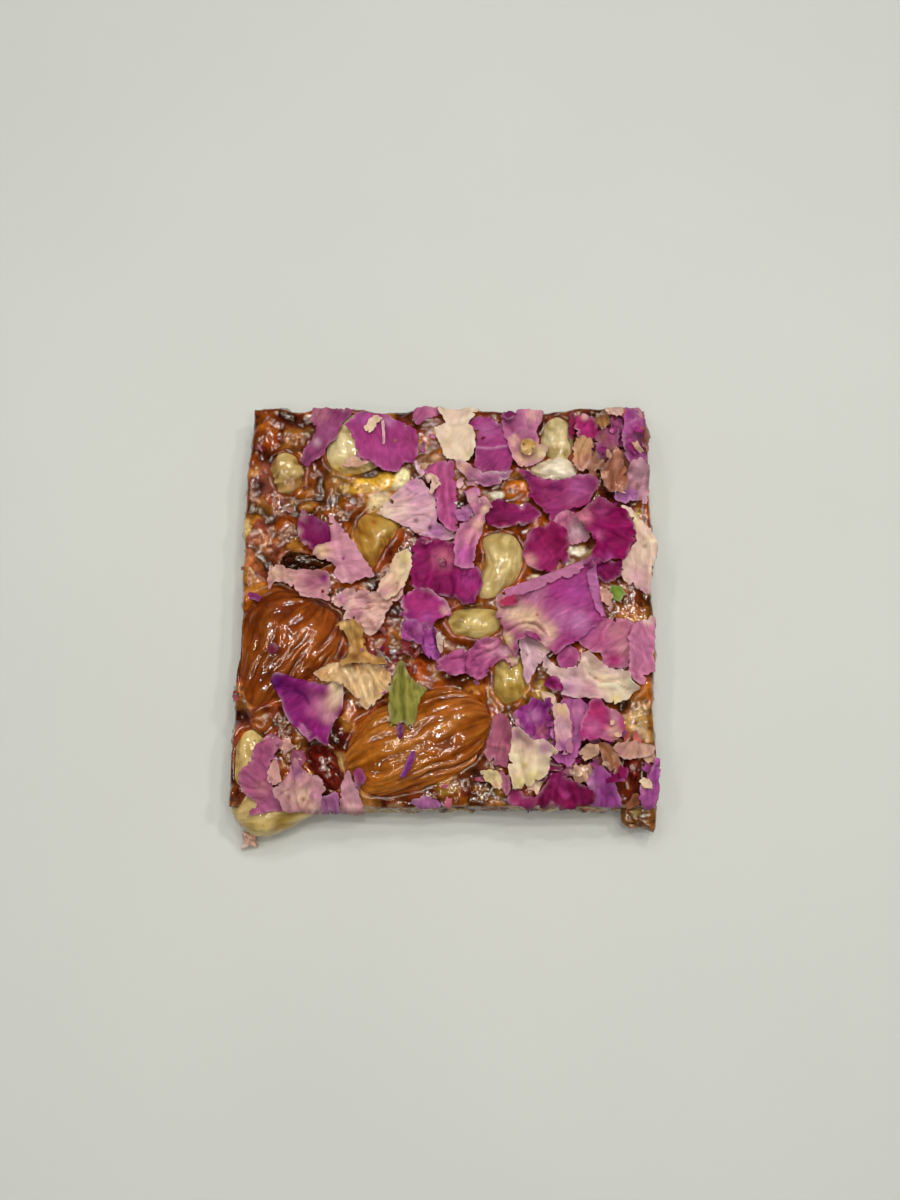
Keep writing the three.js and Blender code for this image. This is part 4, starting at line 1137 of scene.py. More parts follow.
        "517,664 510,670 504,662 496,664 490,672 484,681 476,682 468,673 458,676 448,672 "
        "440,671"},
    "petalBitLowerOrchid": {
        "colour": "#A84C90", "base": (585, 640), "tints": [(570, 650, "#B868A0", 5)],
        "outline": "556,650 562,642 574,646 580,656 574,668 563,672 557,661"},
    "petal_right_rose": {
        "colour": "#B46A96", "base": (650, 612), "stiff": 1.1, "tints": [(586, 630, "#A84C98", 12),
        (600, 640, "#B0588E", 10), (618, 630, "#BE7A96", 10), (614, 660, "#9B2F70", 8),
        (624, 648, "#C48AA0", 8)], "ridges": [([(602, 655), (614, 652), (626, 656)], -0.25, 0.3)],
        "outline": "572,622 580,615 592,616 604,618 618,618 630,620 636,628 632,640 629,656 626,667 "
        "614,669 606,667 599,655 592,652 584,648 576,640"},
    "petal_right_lilac": {
        "colour": "#C47CA8", "base": (660, 690), "rim": 0.45, "stiff": 1.3,
        "tints": [(648, 618, "#E0C8C0", 6), (632, 650, "#C88AB0", 6), (644, 650, "#BE76A6", 14)],
        "ridges": [([(628, 640), (630, 676)], 0.3, 0.35)],
        "outline": "628,637 634,627 642,620 654,615 657,624 656,639 654,650 656,664 655,672 649,675 "
        "642,686 634,683 627,674 627,662"},
    "petal_large_tail": {
        "kind": "pink", "colour": "#D6B4CC", "base": (505, 630), "stiff": 1.5,
        "tints": [(546, 646, "#E4CEC8", 7), (526, 650, "#D8BCD0", 8), (527, 655, "#8A5A6A", 1.6),
        (527, 676, "#CAA0C0", 6)],
        "outline": "519,638 526,632 538,637 550,641 552,650 544,657 536,670 527,685 523,675 520,655"},
    "petal_large_orchid": {
        "colour": "#9E3C86", "base": (500, 640), "rim": 0.5, "stiff": 2.0, "lift": 0.3,
        "wrinkle": 0.11, "tints": [(540, 590, "#B87AA8", 12), (560, 590, "#9A3684", 16),
        (580, 590, "#A4449A", 14), (560, 615, "#B066A4", 12), (580, 620, "#B474B0", 12),
        (512, 610, "#DDC0B6", 14), (530, 618, "#E0C4AC", 14), (548, 630, "#DCBCAC", 10),
        (545, 640, "#D2A8B4", 8), (506, 640, "#E4D2A8", 8), (505, 638, "#C8A040", 2.6),
        (538, 613, "#A05A50", 1.8), (500, 602, "#D8A8B8", 8)], "bumps": [(560, 600, 0.7, 22)],
        "ridges": [([(505, 627), (515, 621), (526, 618), (537, 619), (545, 625), (549, 633)], 0.55, 0.32),
        ([(508, 634), (517, 627), (527, 624), (536, 626), (542, 632)], 0.35, 0.26), ([(509, 630),
        # the first two lines are painted shade of the folds, just below their ridges
        (518, 624), (528, 621), (537, 623), (544, 630)], -0.3, 0.2)], "lines": [([(506, 629), (515, 623),
        (526, 620), (537, 621), (544, 627), (548, 635)], "#B07C80", 0.1), ([(509, 636), (517, 630),
        (527, 627), (535, 629), (541, 635)], "#B88A84", 0.09), ([(505, 640), (510, 646),
        (515, 656)], "#C09A48", 0.14)], "folds": [{"line": [(502, 592), (590, 559)], "radius": 0.32,
        "colour": "#B873A4", "flap": [(508, 597), (520, 594), (534, 590), (545, 585), (558, 578),
        (570, 575), (580, 571), (589, 563)]}, {"line": [(594, 568), (605, 618)], "radius": 0.28,
        "colour": "#B56EAE", "flap": [(587, 571), (590, 588), (595, 604), (600, 616)]}],
        "outline": "497,598 502,592 590,559 594,568 605,618 601,622 592,628 578,641 566,647 556,655 "
        "548,648 540,642 528,639 518,642 519,652 515,660 510,652 505,640 502,628 496,616"},
    "petalBitPlumEye": {
        "colour": "#9A3A80", "base": (520, 630), "jag": 0.03, "lift": 0.05,
        "outline": "525,632 531,632 538,636 541,641 534,640 528,637"},
    "petal_cream_star": {
        "kind": "cream", "colour": "#D6BAC0", "base": (645, 695), "rim": 0.8, "ruffle": 0.4, "stiff": 2.4,
        "lift": 0.25, "wrinkle": 0.07, "tints": [(546, 664, "#E0C8D2", 9), (570, 688, "#C496C2", 9),
        (574, 676, "#D8B8CC", 8), (590, 668, "#E8D4CC", 9), (604, 682, "#ECDCC8", 11),
        (624, 688, "#F6ECD8", 14), (616, 699, "#DACE9C", 6), (588, 690, "#BC90A8", 10),
        (595, 678, "#9A7060", 1.8)], "bumps": [(588, 664, 0.6, 9)], "ridges": [([(583, 662), (588, 676),
        (600, 684), (616, 684)], 0.6, 0.5), ([(590, 674), (602, 680), (618, 679)], -0.35, 0.3),
        # the line is painted shade of the fold, just below its ridge
        ([(564, 678), (580, 684), (606, 694)], 0.3, 0.6)], "lines": [([(584, 664), (590, 675), (600, 682),
        (616, 683), (630, 689)], "#B89A84", 0.1)],
        "outline": "536,655 543,657 552,663 562,669 573,670 580,662 581,655 587,653 592,659 600,664 "
        "610,668 621,669 627,674 632,684 640,690 631,694 628,700 614,704 604,700 592,700 "
        "578,698 561,695 563,688 556,680 546,674"},
    "petalBitNearPurple": {
        "colour": "#8A1E6C", "base": (565, 695),
        "outline": "545,683 549,677 558,678 563,686 562,692 552,690"},
    "petalBitRosyScallop": {
        "kind": "pink", "colour": "#BE948A", "base": (636, 735), "tints": [(646, 750, "#CDA89A", 6),
        (620, 752, "#B4848A", 6)],
        "outline": "612,748 622,742 634,741 646,744 656,748 650,756 640,758 628,760 618,756"},
    "petalBitBrownLeaf": {
        "kind": "husk", "colour": "#9A6444", "base": (595, 740), "tints": [(606, 752, "#AC7650", 6),
        (618, 768, "#8A5238", 6)], "ridges": [([(600, 748), (610, 760), (620, 776)], 0.3, 0.4)],
        "outline": "596,746 604,743 613,748 620,758 625,768 622,778 613,775 606,766 600,757"},
    "petalBitTanPink": {
        "kind": "pink", "colour": "#D6B29E", "base": (575, 745),
        "outline": "580,750 586,744 596,745 600,752 594,759 584,760"},
    "petalBitNearLilac": {
        "colour": "#9C4C9E", "base": (600, 760), "tints": [(592, 786, "#BE86BE", 6),
        (593, 798, "#B47CB8", 6), (610, 794, "#8E3C8E", 9)], "ridges": [([(598, 770),
        (600, 804)], 0.3, 0.35)],
        "outline": "585,800 587,780 592,768 601,768 609,776 616,788 622,800 620,806 600,806"},
    "petalBitNearPlum": {
        "colour": "#92306A", "base": (520, 780), "tints": [(530, 808, "#6E1650", 5)],
        "outline": "507,795 511,790 518,791 524,797 531,797 536,801 535,806 529,810 524,806 514,806 "
        "508,803"},
    "petal_near_edge": {
        "colour": "#7A0E4C", "base": (560, 765), "jag": 0.14, "wrinkle": 0.2,
        # the tint at 566,794 is a painted highlight
        "tints": [(560, 782, "#90286E", 9), (582, 796, "#74104E", 10), (546, 800, "#6E0C46", 9),
        (566, 794, "#A03A84", 4)], "ridges": [([(556, 776), (551, 804)], 0.45, 0.3), ([(572, 784),
        (580, 804)], 0.4, 0.3)],
        "outline": "533,800 541,790 548,780 556,773 566,774 574,782 584,788 594,793 592,802 580,806 "
        "568,809 553,806 540,808"},
    "petal_near_mauve": {
        "colour": "#A05A78", "base": (505, 705), "rim": 0.4, "stiff": 1.3,
        "tints": [(500, 745, "#AA6680", 9), (507, 740, "#8A4068", 4), (490, 755, "#A45C7A", 6)],
        "outline": "496,716 501,713 507,716 511,726 512,742 510,756 507,768 498,766 489,761 484,753 "
        "488,740 491,727"},
    "petalBitNearRose": {
        "kind": "pink", "colour": "#C27BA4", "base": (500, 765),
        "outline": "497,776 502,770 508,776 510,788 507,796 501,788"},
    "petalBitNearCreamWedge": {
        "kind": "cream", "colour": "#DACAA0", "base": (475, 770), "tints": [(496, 786, "#D0A898", 4)],
        "outline": "480,772 490,770 500,774 503,782 500,790 491,784 484,780"},
    "petalBitNearViolet": {
        "colour": "#8A3088", "base": (540, 690), "wrinkle": 0.26, "tints": [(534, 716, "#B26FAC", 8),
        (546, 704, "#7A1E80", 5), (518, 720, "#7B1E78", 4), (542, 732, "#A86080", 7)],
        "ridges": [([(524, 706), (530, 728)], 0.4, 0.35), ([(530, 728), (548, 722)], 0.3, 0.3)],
        "outline": "516,716 519,707 526,704 532,697 541,700 549,697 553,705 548,712 554,721 549,728 "
        "552,738 540,742 529,739 523,730"},
    "petalBitNearOrchid": {
        "colour": "#AA5CA4", "base": (575, 690), "stiff": 1.3, "tints": [(578, 712, "#B470A4", 9),
        (562, 750, "#A04C98", 10), (572, 738, "#B26EAE", 7)],
        "outline": "551,738 556,706 564,698 580,699 590,706 588,724 582,740 578,756 570,766 556,762 "
        "550,752"},
    "petal_near_strip": {
        "kind": "pink", "colour": "#CFA2B2", "base": (560, 695), "rim": 0.4, "stiff": 1.5, "lift": 0.2,
        "tints": [(562, 708, "#E0C4A2", 7), (561, 726, "#CFA6C0", 8), (564, 746, "#A868AC", 8)],
        "outline": "552,708 558,702 567,705 570,718 571,735 569,752 562,756 556,750 555,732"},
    "petal_near_magenta": {
        "colour": "#A6307C", "base": (630, 735), "rim": 0.3, "stiff": 2.0, "wrinkle": 0.1,
        "tints": [(596, 710, "#B03874", 9), (592, 728, "#B65E98", 9), (616, 716, "#C084A0", 7),
        (614, 732, "#DAB0AA", 8), (604, 738, "#C878AC", 6)],
        "outline": "580,722 585,712 590,701 600,701 610,708 620,710 625,718 624,730 618,738 610,743 "
        "597,741 583,742 579,733"},
    "petal_near_cream": {
        "kind": "cream", "colour": "#E0CEBA", "base": (528, 792), "rim": 0.6, "stiff": 2.0, "lift": 0.2,
        "wrinkle": 0.08, "ruffle": 0.3, "tints": [(516, 734, "#B484A0", 7), (528, 742, "#D2B0B0", 9),
        (545, 748, "#C89ABE", 7), (516, 760, "#E6DAC4", 9), (538, 764, "#E4D4BE", 9),
        (518, 782, "#D8CC94", 7), (534, 776, "#D8CE98", 7), (526, 764, "#C0B27C", 3)],
        "ridges": [([(521, 752), (524, 768), (528, 784)], -0.45, 0.4), ([(515, 756), (519, 774)], 0.3, 0.5),
        ([(534, 758), (534, 774)], 0.3, 0.5)],
        "outline": "512,729 518,727 523,733 530,740 543,740 550,746 557,754 549,758 550,770 543,777 "
        "535,781 530,788 525,784 521,789 512,789 510,778 508,768 509,757 511,742"},
    "petal_corner_right": {
        "colour": "#A350A0", "base": (650, 815), "rim": 0.4, "tints": [(645, 784, "#DCC0B0", 5),
        (657, 774, "#9A4AA4", 6), (646, 800, "#A656A2", 8)],
        "outline": "638,800 639,786 646,778 652,766 655,758 660,760 661,778 660,796 654,808 644,810"},
    "petalBitCornerCream": {
        "kind": "cream", "colour": "#E2CDB4", "base": (650, 795),
        "outline": "639,781 644,777 651,780 652,789 645,788"},
    "petal_corner_lilac": {
        "kind": "pink", "colour": "#9E547E", "base": (290, 800),
        "tints": [(262, 756, "#9C507E", 10), (252, 776, "#98527E", 9), (262, 788, "#B4748C", 8),
        (268, 804, "#A4608E", 9), (276, 746, "#AE7090", 6)],
        "outline": "255,744 266,741 282,742 278,751 274,760 271,768 271,778 274,786 277,796 282,804 "
        "283,811 267,813 250,816 249,811 257,805 252,799 243,792 239,783 240,773 248,764 "
        "252,755"},
    "petalBitCornerRose": {
        "kind": "pink", "colour": "#C08FA5", "base": (350, 760), "tints": [(350, 806, "#C8A0A8", 6)],
        "outline": "339,812 341,792 345,776 350,770 356,786 362,802 362,812"},
    "petalBitCornerMauve": {
        "kind": "pink", "colour": "#A868A4", "base": (330, 785),
        "outline": "320,798 328,795 339,794 340,812 322,812"},
    "petal_corner_blush": {
        "kind": "pink", "colour": "#BC8C9C", "base": (300, 820), "wrinkle": 0.26,
        "tints": [(296, 770, "#A46C98", 8), (284, 790, "#C49CA4", 8), (302, 796, "#D2B4A8", 10),
        (303, 799, "#8E6450", 2.6), (309, 801, "#845840", 2.0), (288, 797, "#9A7060", 1.8),
        (316, 796, "#B884A4", 7), (312, 806, "#C4A49E", 6)],
        "outline": "273,790 280,783 287,776 291,766 295,757 300,765 308,773 318,777 324,782 326,790 "
        "321,799 321,811 308,812 292,812 283,811 279,801"},
    "petalBitCornerInner": {
        "kind": "pink", "colour": "#D2A4A4", "base": (276, 790), "lift": 0.05,
        "tints": [(270, 780, "#A8708A", 3)],
        "outline": "267,776 270,765 276,759 279,768 281,780 275,785 270,784"},
    "petalBitPurpleWell": {
        "colour": "#7E1860", "base": (300, 500), "rim": 0.6, "stiff": 1.6,
        "tints": [(303, 518, "#A06A84", 5), (299, 532, "#B890A0", 4), (305, 546, "#B08498", 4),
        (318, 526, "#8A3A74", 6), (322, 539, "#6E0E50", 9)], "bumps": [(318, 536, -0.5, 9)],
        "outline": "297,526 300,516 305,510 309,517 317,519 327,523 333,532 333,543 326,549 317,553 "
        "309,551 302,543 298,535"},
    "petal_left_pink": {
        "kind": "pink", "colour": "#C6949F", "base": (266, 578), "stiff": 1.3, "rim": 0.5,
        "tints": [(276, 573, "#DEBEAE", 8), (290, 578, "#CFA8A8", 7), (312, 582, "#A46284", 10),
        (324, 578, "#8E3080", 5), (300, 592, "#C090A0", 6), (320, 596, "#CA90A8", 6)],
        "ridges": [([(290, 576), (310, 578), (326, 580)], 0.3, 0.4)],
        "outline": "268,572 272,566 281,566 288,571 302,572 316,571 327,573 331,582 328,590 330,601 "
        "316,600 302,597 293,590 285,583 276,582 271,590 267,582"},
    "petal_fan": {
        "kind": "pink", "colour": "#CC94AE", "base": (312, 553), "rim": 0.4, "stiff": 1.8, "wrinkle": 0.1,
        "tints": [(322, 553, "#D6B49C", 9), (334, 536, "#BE84A0", 8), (350, 560, "#CA90B0", 12),
        (344, 578, "#D2A2B8", 6), (364, 572, "#BE84A2", 6)], "ridges": [([(332, 520), (338, 548),
        (346, 580)], 0.45, 0.5), ([(320, 554), (345, 562), (366, 574)], 0.3, 0.4)],
        "outline": "329,515 333,517 339,524 346,533 354,543 361,553 368,563 374,575 362,578 352,583 "
        "342,583 334,577 335,566 325,562 313,556 316,549 324,545 332,540 331,528"},
    "petal_left_mauve": {
        "kind": "pink", "colour": "#E0BCBC", "base": (410, 590), "wrinkle": 0.3, "ruffle": 0.4,
        "stiff": 1.3, "rim": 0.5, "tints": [(342, 598, "#C088A8", 7), (362, 598, "#CFA0B0", 9),
        (378, 606, "#DAB6B4", 9), (356, 614, "#B47C96", 8), (374, 624, "#C89CA0", 7),
        (368, 602, "#9E6478", 2.5)], "ridges": [([(344, 600), (360, 606), (374, 620)], 0.4, 0.4),
        ([(352, 594), (372, 600), (384, 608)], -0.3, 0.35)],
        "outline": "332,603 338,592 350,590 364,592 378,593 392,592 405,590 404,598 394,606 386,614 "
        "383,624 374,632 368,635 360,624 353,620 343,621 346,611 338,606"},
    "petal_cream_upright": {
        "kind": "cream", "colour": "#E3C9B2", "base": (410, 545), "rim": 0.7, "stiff": 1.8, "lift": 0.2,
        "tints": [(406, 558, "#E6D8A4", 6), (388, 580, "#E0BFB2", 9), (394, 588, "#D2A4A4", 6),
        (397, 582, "#A88A7C", 1.8), (384, 592, "#C490A4", 6), (402, 570, "#E8D4BA", 8)],
        "ridges": [([(388, 578), (398, 562), (408, 556)], 0.3, 0.5), ([(386, 590),
        (396, 580)], -0.25, 0.35)],
        "outline": "378,594 380,584 386,572 392,562 399,554 408,551 412,558 411,568 408,580 402,590 "
        "396,597 386,600"},
    "petal_deep_purple": {
        "colour": "#86207A", "base": (336, 676), "rim": 0.6, "stiff": 2.4, "lift": 0.3, "ruffle": 0.3,
        "wrinkle": 0.07, "jag": 0.06, "paleRim": 0.3, "tints": [(278, 684, "#54106A", 8),
        (290, 688, "#6E1268", 10), (296, 704, "#7E1A70", 10), (312, 692, "#98448A", 8),
        (314, 708, "#A85090", 10), (324, 704, "#C486A4", 10), (328, 716, "#CC92AC", 8),
        (334, 702, "#E0BAB0", 9), (338, 694, "#F0DCC4", 8), (335, 685, "#F0DEB8", 6),
        # the tints at 302,728 and 309,734 are painted highlight on the lower lobe's ridge
        (312, 726, "#8A2078", 9), (322, 736, "#8E247E", 8), (302, 728, "#A45496", 4),
        (309, 734, "#AE6AA0", 3)], "bumps": [(312, 708, -0.9, 15), (276, 681, 0.8, 8), (326, 742, -0.4, 8)],
        "ridges": [([(300, 684), (314, 688), (328, 690)], 0.5, 0.6), ([(299, 722), (305, 731),
        (308, 739)], 0.5, 0.35), ([(316, 728), (318, 740)], 0.35, 0.35)], "lines": [([(296, 690),
        # the pale line from 301,724 to 309,739 is a painted highlight along that ridge
        (304, 694), (308, 702)], "#4E0C4A", 0.3), ([(301, 724), (306, 731), (309, 739)], "#D0A0C0", 0.1)],
        "outline": "273,684 276,677 285,676 293,679 305,682 316,683 326,686 331,683 333,679 338,679 "
        "343,686 344,697 343,710 338,718 333,723 331,731 328,740 326,746 320,743 316,740 "
        "311,743 305,738 300,733 295,728 288,720 283,709 281,699 277,692"},
    "husk_papery": {
        "kind": "husk", "colour": "#D6B68A", "base": (350, 650), "wrinkle": 0.2, "stiff": 1.4, "rim": 0.4,
        "lift": 0.12, "jag": 0.12, "tints": [(352, 674, "#DCC09A", 12), (380, 676, "#D8B888", 9),
        (368, 692, "#DABE96", 9), (322, 676, "#C89C6C", 8), (356, 664, "#A8783C", 6),
        (384, 668, "#B88A50", 5)], "ridges": [([(356, 664), (362, 684), (368, 704)], 0.45, 0.35),
        ([(344, 666), (352, 680), (358, 696)], 0.35, 0.3), ([(368, 664), (376, 680), (382, 696)], 0.4, 0.3),
        ([(336, 670), (344, 680)], 0.3, 0.3)],
        "outline": "314,674 321,669 333,665 344,662 353,663 361,662 369,660 379,665 386,669 392,673 "
        "391,683 389,693 380,700 368,710 362,705 355,696 344,687 333,683 325,684 318,679"},
    "husk_curl": {
        "kind": "husk", "colour": "#BC9250", "base": (355, 672), "rim": 0.9, "stiff": 2.0, "lift": 0.3,
        # the pale tints at 346,625 and 356,630 are painted highlight along the top edge
        "tints": [(346, 625, "#DCB87C", 6), (356, 630, "#D0A868", 6), (358, 645, "#B88844", 6),
        (354, 656, "#8A5A24", 5), (368, 659, "#C49A58", 6), (345, 662, "#C8A064", 5)],
        "ridges": [([(340, 627), (352, 625), (360, 634), (362, 646)], 0.6, 0.5), ([(364, 654),
        (380, 662)], 0.4, 0.4)],
        "outline": "336,627 341,622 349,621 357,623 362,628 364,636 365,644 368,651 375,656 383,659 "
        "389,666 380,667 369,663 361,663 351,665 342,667 341,662 345,658 348,652 347,645 "
        "348,638 345,633 340,630"},
    "leaf_green": {
        "kind": "leaf", "colour": "#85873E", "base": (404, 640), "rim": 0.3, "stiff": 2.0, "lift": 0.2,
        "tints": [(400, 690, "#74762E", 6), (408, 700, "#94944A", 8), (394, 712, "#82863C", 6),
        (412, 724, "#7E8038", 7), (420, 690, "#8E8E42", 5)], "ridges": [([(398, 668),
        (398, 720)], 0.4, 0.35), ([(406, 670), (408, 722)], 0.45, 0.35), ([(402, 666),
        (403, 722)], -0.3, 0.3)],
        "outline": "394,676 398,665 403,660 408,664 409,673 416,681 426,688 421,694 418,704 418,718 "
        "413,731 408,728 404,724 396,726 389,729 388,708 389,690"},
    "petalBitLeafSpeck": {
        "colour": "#6E2A6E", "base": (400, 715),
        "outline": "395,728 400,723 405,727 403,735 400,739 397,733"},
    "petalBitSliver": {
        "colour": "#7A2A84", "base": (415, 745), "jag": 0.03,
        "outline": "400,775 406,763 411,752 416,752 414,761 406,776 402,778"},
    "petalBitAlmondSpeck": {
        "colour": "#6E2038", "base": (270, 640),
        "outline": "267,649 270,644 278,644 279,650 274,656 269,654"},
    "petalBitEdgeSpeck": {
        "colour": "#7C1E66", "base": (245, 590),
        "outline": "248,594 254,591 262,596 260,601 254,601 249,600"},
    "petalBitGreen": {
        "kind": "leaf", "colour": "#6E9030", "base": (605, 585), "tints": [(618, 592, "#86A84A", 4)],
        "outline": "607,590 614,584 622,588 628,594 620,600 611,597"},
    "petalBitRosyTuck": {
        "kind": "pink", "colour": "#CFA29C", "base": (605, 620),
        "outline": "599,592 606,590 613,594 613,606 610,613 604,606 600,600"},
    "petalBitNearMiddle": {
        "colour": "#A064A0", "base": (430, 785),
        "outline": "410,804 416,799 425,796 433,798 441,803 445,807 435,808 420,808"},
    "petalBitLashRed": {
        "colour": "#A4305C", "base": (525, 595),
        "outline": "497,603 502,599 510,596 518,594 520,600 512,606 502,608"},
    "petalBitLeftShred": {
        "colour": "#8A3A70", "base": (358, 760),
        "outline": "355,784 354,774 358,768 364,770 366,778 362,786 357,788"},
}


# Cuts a petal from a fine grid: the cells outside its outline are deleted and the rest drawn to it.
def petalMesh(name, outline, cell):
    low, high = outline.min(0) - cell, outline.max(0) + cell
    counts = np.maximum(np.round((high - low) / cell).astype(int), 3)
    bpy.ops.object.select_all(action="DESELECT")
    bpy.ops.mesh.primitive_grid_add(x_subdivisions=int(counts[0]), y_subdivisions=int(counts[1]), size=2)
    piece = bpy.context.object
    piece.name = name
    places = placesOf(piece)
    places[:, :2] = low + (places[:, :2] + 1) / 2 * (high - low)
    inside = insideOutline(places[:, :2], outline) | (lineDistance(places[:, :2], outline, True) < 0.2 * cell)
    points = inside.reshape(counts[1] + 1, counts[0] + 1)
    keep = points[:-1, :-1] & points[1:, :-1] & points[:-1, 1:] & points[1:, 1:]
    # the largest connected patch of cells, without cells that touch only at a corner
    label = np.where(keep, np.arange(1, keep.size + 1).reshape(keep.shape), 0)
    while True:
        wide = np.pad(label, 1)
        spread = np.max([wide[1:-1, 1:-1], wide[:-2, 1:-1], wide[2:, 1:-1], wide[1:-1, :-2],
                         wide[1:-1, 2:]], 0) * keep
        if (spread == label).all():
            break
        label = spread
    keep = label == np.bincount(label[label > 0]).argmax()
    for _ in range(3):
        a, b, c, d = keep[:-1, :-1], keep[:-1, 1:], keep[1:, :-1], keep[1:, 1:]
        pinch = (a & d & ~b & ~c) | (b & c & ~a & ~d)
        rows, columns = np.nonzero(pinch)
        keep[rows, columns] = keep[rows, columns + 1] = True
        keep[rows + 1, columns] = keep[rows + 1, columns + 1] = True
    used = np.zeros(points.shape, bool)
    used[:-1, :-1] |= keep
    used[1:, :-1] |= keep
    used[:-1, 1:] |= keep
    used[1:, 1:] |= keep
    piece.data.polygons.foreach_set("select", np.zeros(len(piece.data.polygons), bool))
    piece.data.edges.foreach_set("select", np.zeros(len(piece.data.edges), bool))
    piece.data.vertices.foreach_set("select", ~used.ravel())
    setPlaces(piece, places)
    bpy.context.tool_settings.mesh_select_mode = (True, False, False)
    bpy.ops.object.mode_set(mode="EDIT")
    bpy.ops.mesh.delete(type="VERT")
    bpy.ops.mesh.select_all(action="DESELECT")
    bpy.ops.object.mode_set(mode="OBJECT")
    # the rim's points are walked in order and spread along the outline
    places = placesOf(piece)
    edges = edgesOf(piece)
    counted = {}
    for polygon in piece.data.polygons:
        for key in polygon.edge_keys:
            counted[key] = counted.get(key, 0) + 1
    follow = {}
    for (a, b), times in counted.items():
        if times == 1:
            follow.setdefault(a, []).append(b)
            follow.setdefault(b, []).append(a)
    dense = resample(outline, 0.04)
    onRim = np.zeros(len(places), bool)
    unseen = set(follow)
    while unseen:
        start = unseen.pop()
        loop, previous, current = [start], None, start
        while True:
            ahead = [v for v in follow[current] if v != previous and v in unseen]
            if not ahead:
                break
            previous, current = current, ahead[0]
            unseen.discard(current)
            loop.append(current)
        onRim[loop] = True
        if len(loop) < 8:
            continue
        marks = np.array([((dense - places[v, :2]) ** 2).sum(1).argmin() for v in loop], float)
        total = len(dense)
        steps = (np.diff(np.append(marks, marks[0])) + total / 2) % total - total / 2
        marks = marks[0] + np.concatenate([[0], np.cumsum(steps[:-1])])
        turnRound = steps.sum()
        for _ in range(6):
            before = np.roll(marks, 1)
            before[0] -= turnRound
            after = np.roll(marks, -1)
            after[-1] += turnRound
            marks = 0.5 * marks + 0.25 * (before + after)
        places[loop, :2] = dense[np.round(marks).astype(int) % total]
    for _ in range(12):
        total = np.zeros((len(places), 2))
        share = np.zeros(len(places))
        for a, b in ((0, 1), (1, 0)):
            np.add.at(total, edges[:, a], places[edges[:, b], :2])
            np.add.at(share, edges[:, a], 1)
        mean = total / share[:, None]
        places[~onRim, :2] = 0.4 * places[~onRim, :2] + 0.6 * mean[~onRim]
    setPlaces(piece, places)
    return piece


# A torn, toothed rim with a few splits in it. Teeth: size in mm, share of jag.
teeth = ((1.7, 1.3), (0.6, 1.7), (0.3, 1.0))


def tornRim(outline, jag, seed):
    for size, share in teeth:
        shift = [[noise.noise(Vector((x / size, y / size, seed + k))) for k in (0.5, 9.5)]
                 for x, y in outline]
        outline = outline + share * jag * np.array(shift)
    along = np.concatenate([[0], np.cumsum(np.linalg.norm(np.diff(outline, axis=0), axis=1))])
    inward = np.roll(outline, -2, 0) - np.roll(outline, 2, 0)
    inward = np.column_stack([-inward[:, 1], inward[:, 0]])
    inward /= np.linalg.norm(inward, axis=1, keepdims=True) + 1e-9
    x, y = outline[:, 0], outline[:, 1]
    if (x * np.roll(y, -1) - np.roll(x, -1) * y).sum() < 0:   # the rim runs clockwise
        inward = -inward
    chance = np.random.default_rng(int(seed) + 7)
    for _ in range(int(along[-1] / 5.5)):   # a split for every 5.5 mm of rim
        place = chance.uniform(0, along[-1])
        depth = chance.uniform(1.5, 5.5) * jag
        half = chance.uniform(0.15, 0.3)
        outline = outline + inward * (depth * np.clip(1 - np.abs(along - place) / half, 0, 1))[:, None]
    return outline


# Sharp creases, 1 along each.
def creased(points, size, seed):
    return np.clip(1 - 6.5 * np.abs(noiseAt(points, size, seed)), 0, 1) ** 1.2


# The mean of a value over each point's neighbours, taken several times.
def evened(piece, values, rounds):
    edges = edgesOf(piece)
    share = np.bincount(edges.ravel(), minlength=len(values)) + 1.0
    for _ in range(rounds):
        total = values.copy()
        np.add.at(total, edges[:, 0], values[edges[:, 1]])
        np.add.at(total, edges[:, 1], values[edges[:, 0]])
        values = total / share
    return values


warmLightTone = np.array([1.14, 1.05, 0.86])   # painted warm light in the colours: the light is warm
dustAndSheen = np.array([0.015, 0.003, 0.008])    # painted sheen and dust: dried petals are never quite dark


# How far points lie to one side of a line and along it, and the directions of both.
def sideOf(points, line):
    span = (line[1] - line[0]) / np.linalg.norm(line[1] - line[0])
    normal = np.array([span[1], -span[0]])
    return (points - line[0]) @ normal, (points - line[0]) @ span, normal, span


# Opens out what the photo shows folded back, and adds it to the rim's pixels, so that the petal can
# be cut flat. Gives the line that each fold lies on.
def openFolds(folds, pixels, height):
    lines = []
    for fold in folds:
        line = fromPhoto(fold["line"], height + 0.3)
        flap = fromPhoto(fold["flap"], height + 0.5)
        if sideOf(flap, line)[0].mean() > 0:   # the normal has to point away from the petal
            line = line[::-1]
        away, _, normal, _ = sideOf(flap, line)
        opened = flap - (2 * away - math.pi * fold["radius"])[:, None] * normal
        opened = toPhoto(np.column_stack([opened, np.full(len(opened), height)]))
        at = pixels.index(tuple(map(float, fold["line"][0])))
        pixels[at + 1:at + 1] = [tuple(point) for point in opened]
        lines.append(line)
    return lines


# Points past a fold's line go round its radius and lie on top, upside down. Turned is 0 for a point
# that stays and 1 for one that lies upside down.
def foldBack(flat, folds, lines):
    plan = flat.copy()
    raised, turned = np.zeros(len(flat)), np.zeros(len(flat))
    backs = []
    for fold, line in zip(folds, lines):
        away, along, normal, _ = sideOf(flat, line)
        past = (away > 0) & (along > -0.4) & (along < np.linalg.norm(line[1] - line[0]) + 0.4)
        r = fold["radius"]
        angle = np.clip(away / r, 0, math.pi)
        target = r * np.sin(angle) - np.clip(away - math.pi * r, 0, None)
        plan[past] += ((target - away)[:, None] * normal)[past]
        raised[past] += (r * (1 - np.cos(angle)))[past]
        turned[past] = (angle / math.pi)[past]
        backs.append((past * np.clip((away / r - 1.2) / 1.2, 0, 1), fold["colour"]))
    return plan, raised, turned, backs


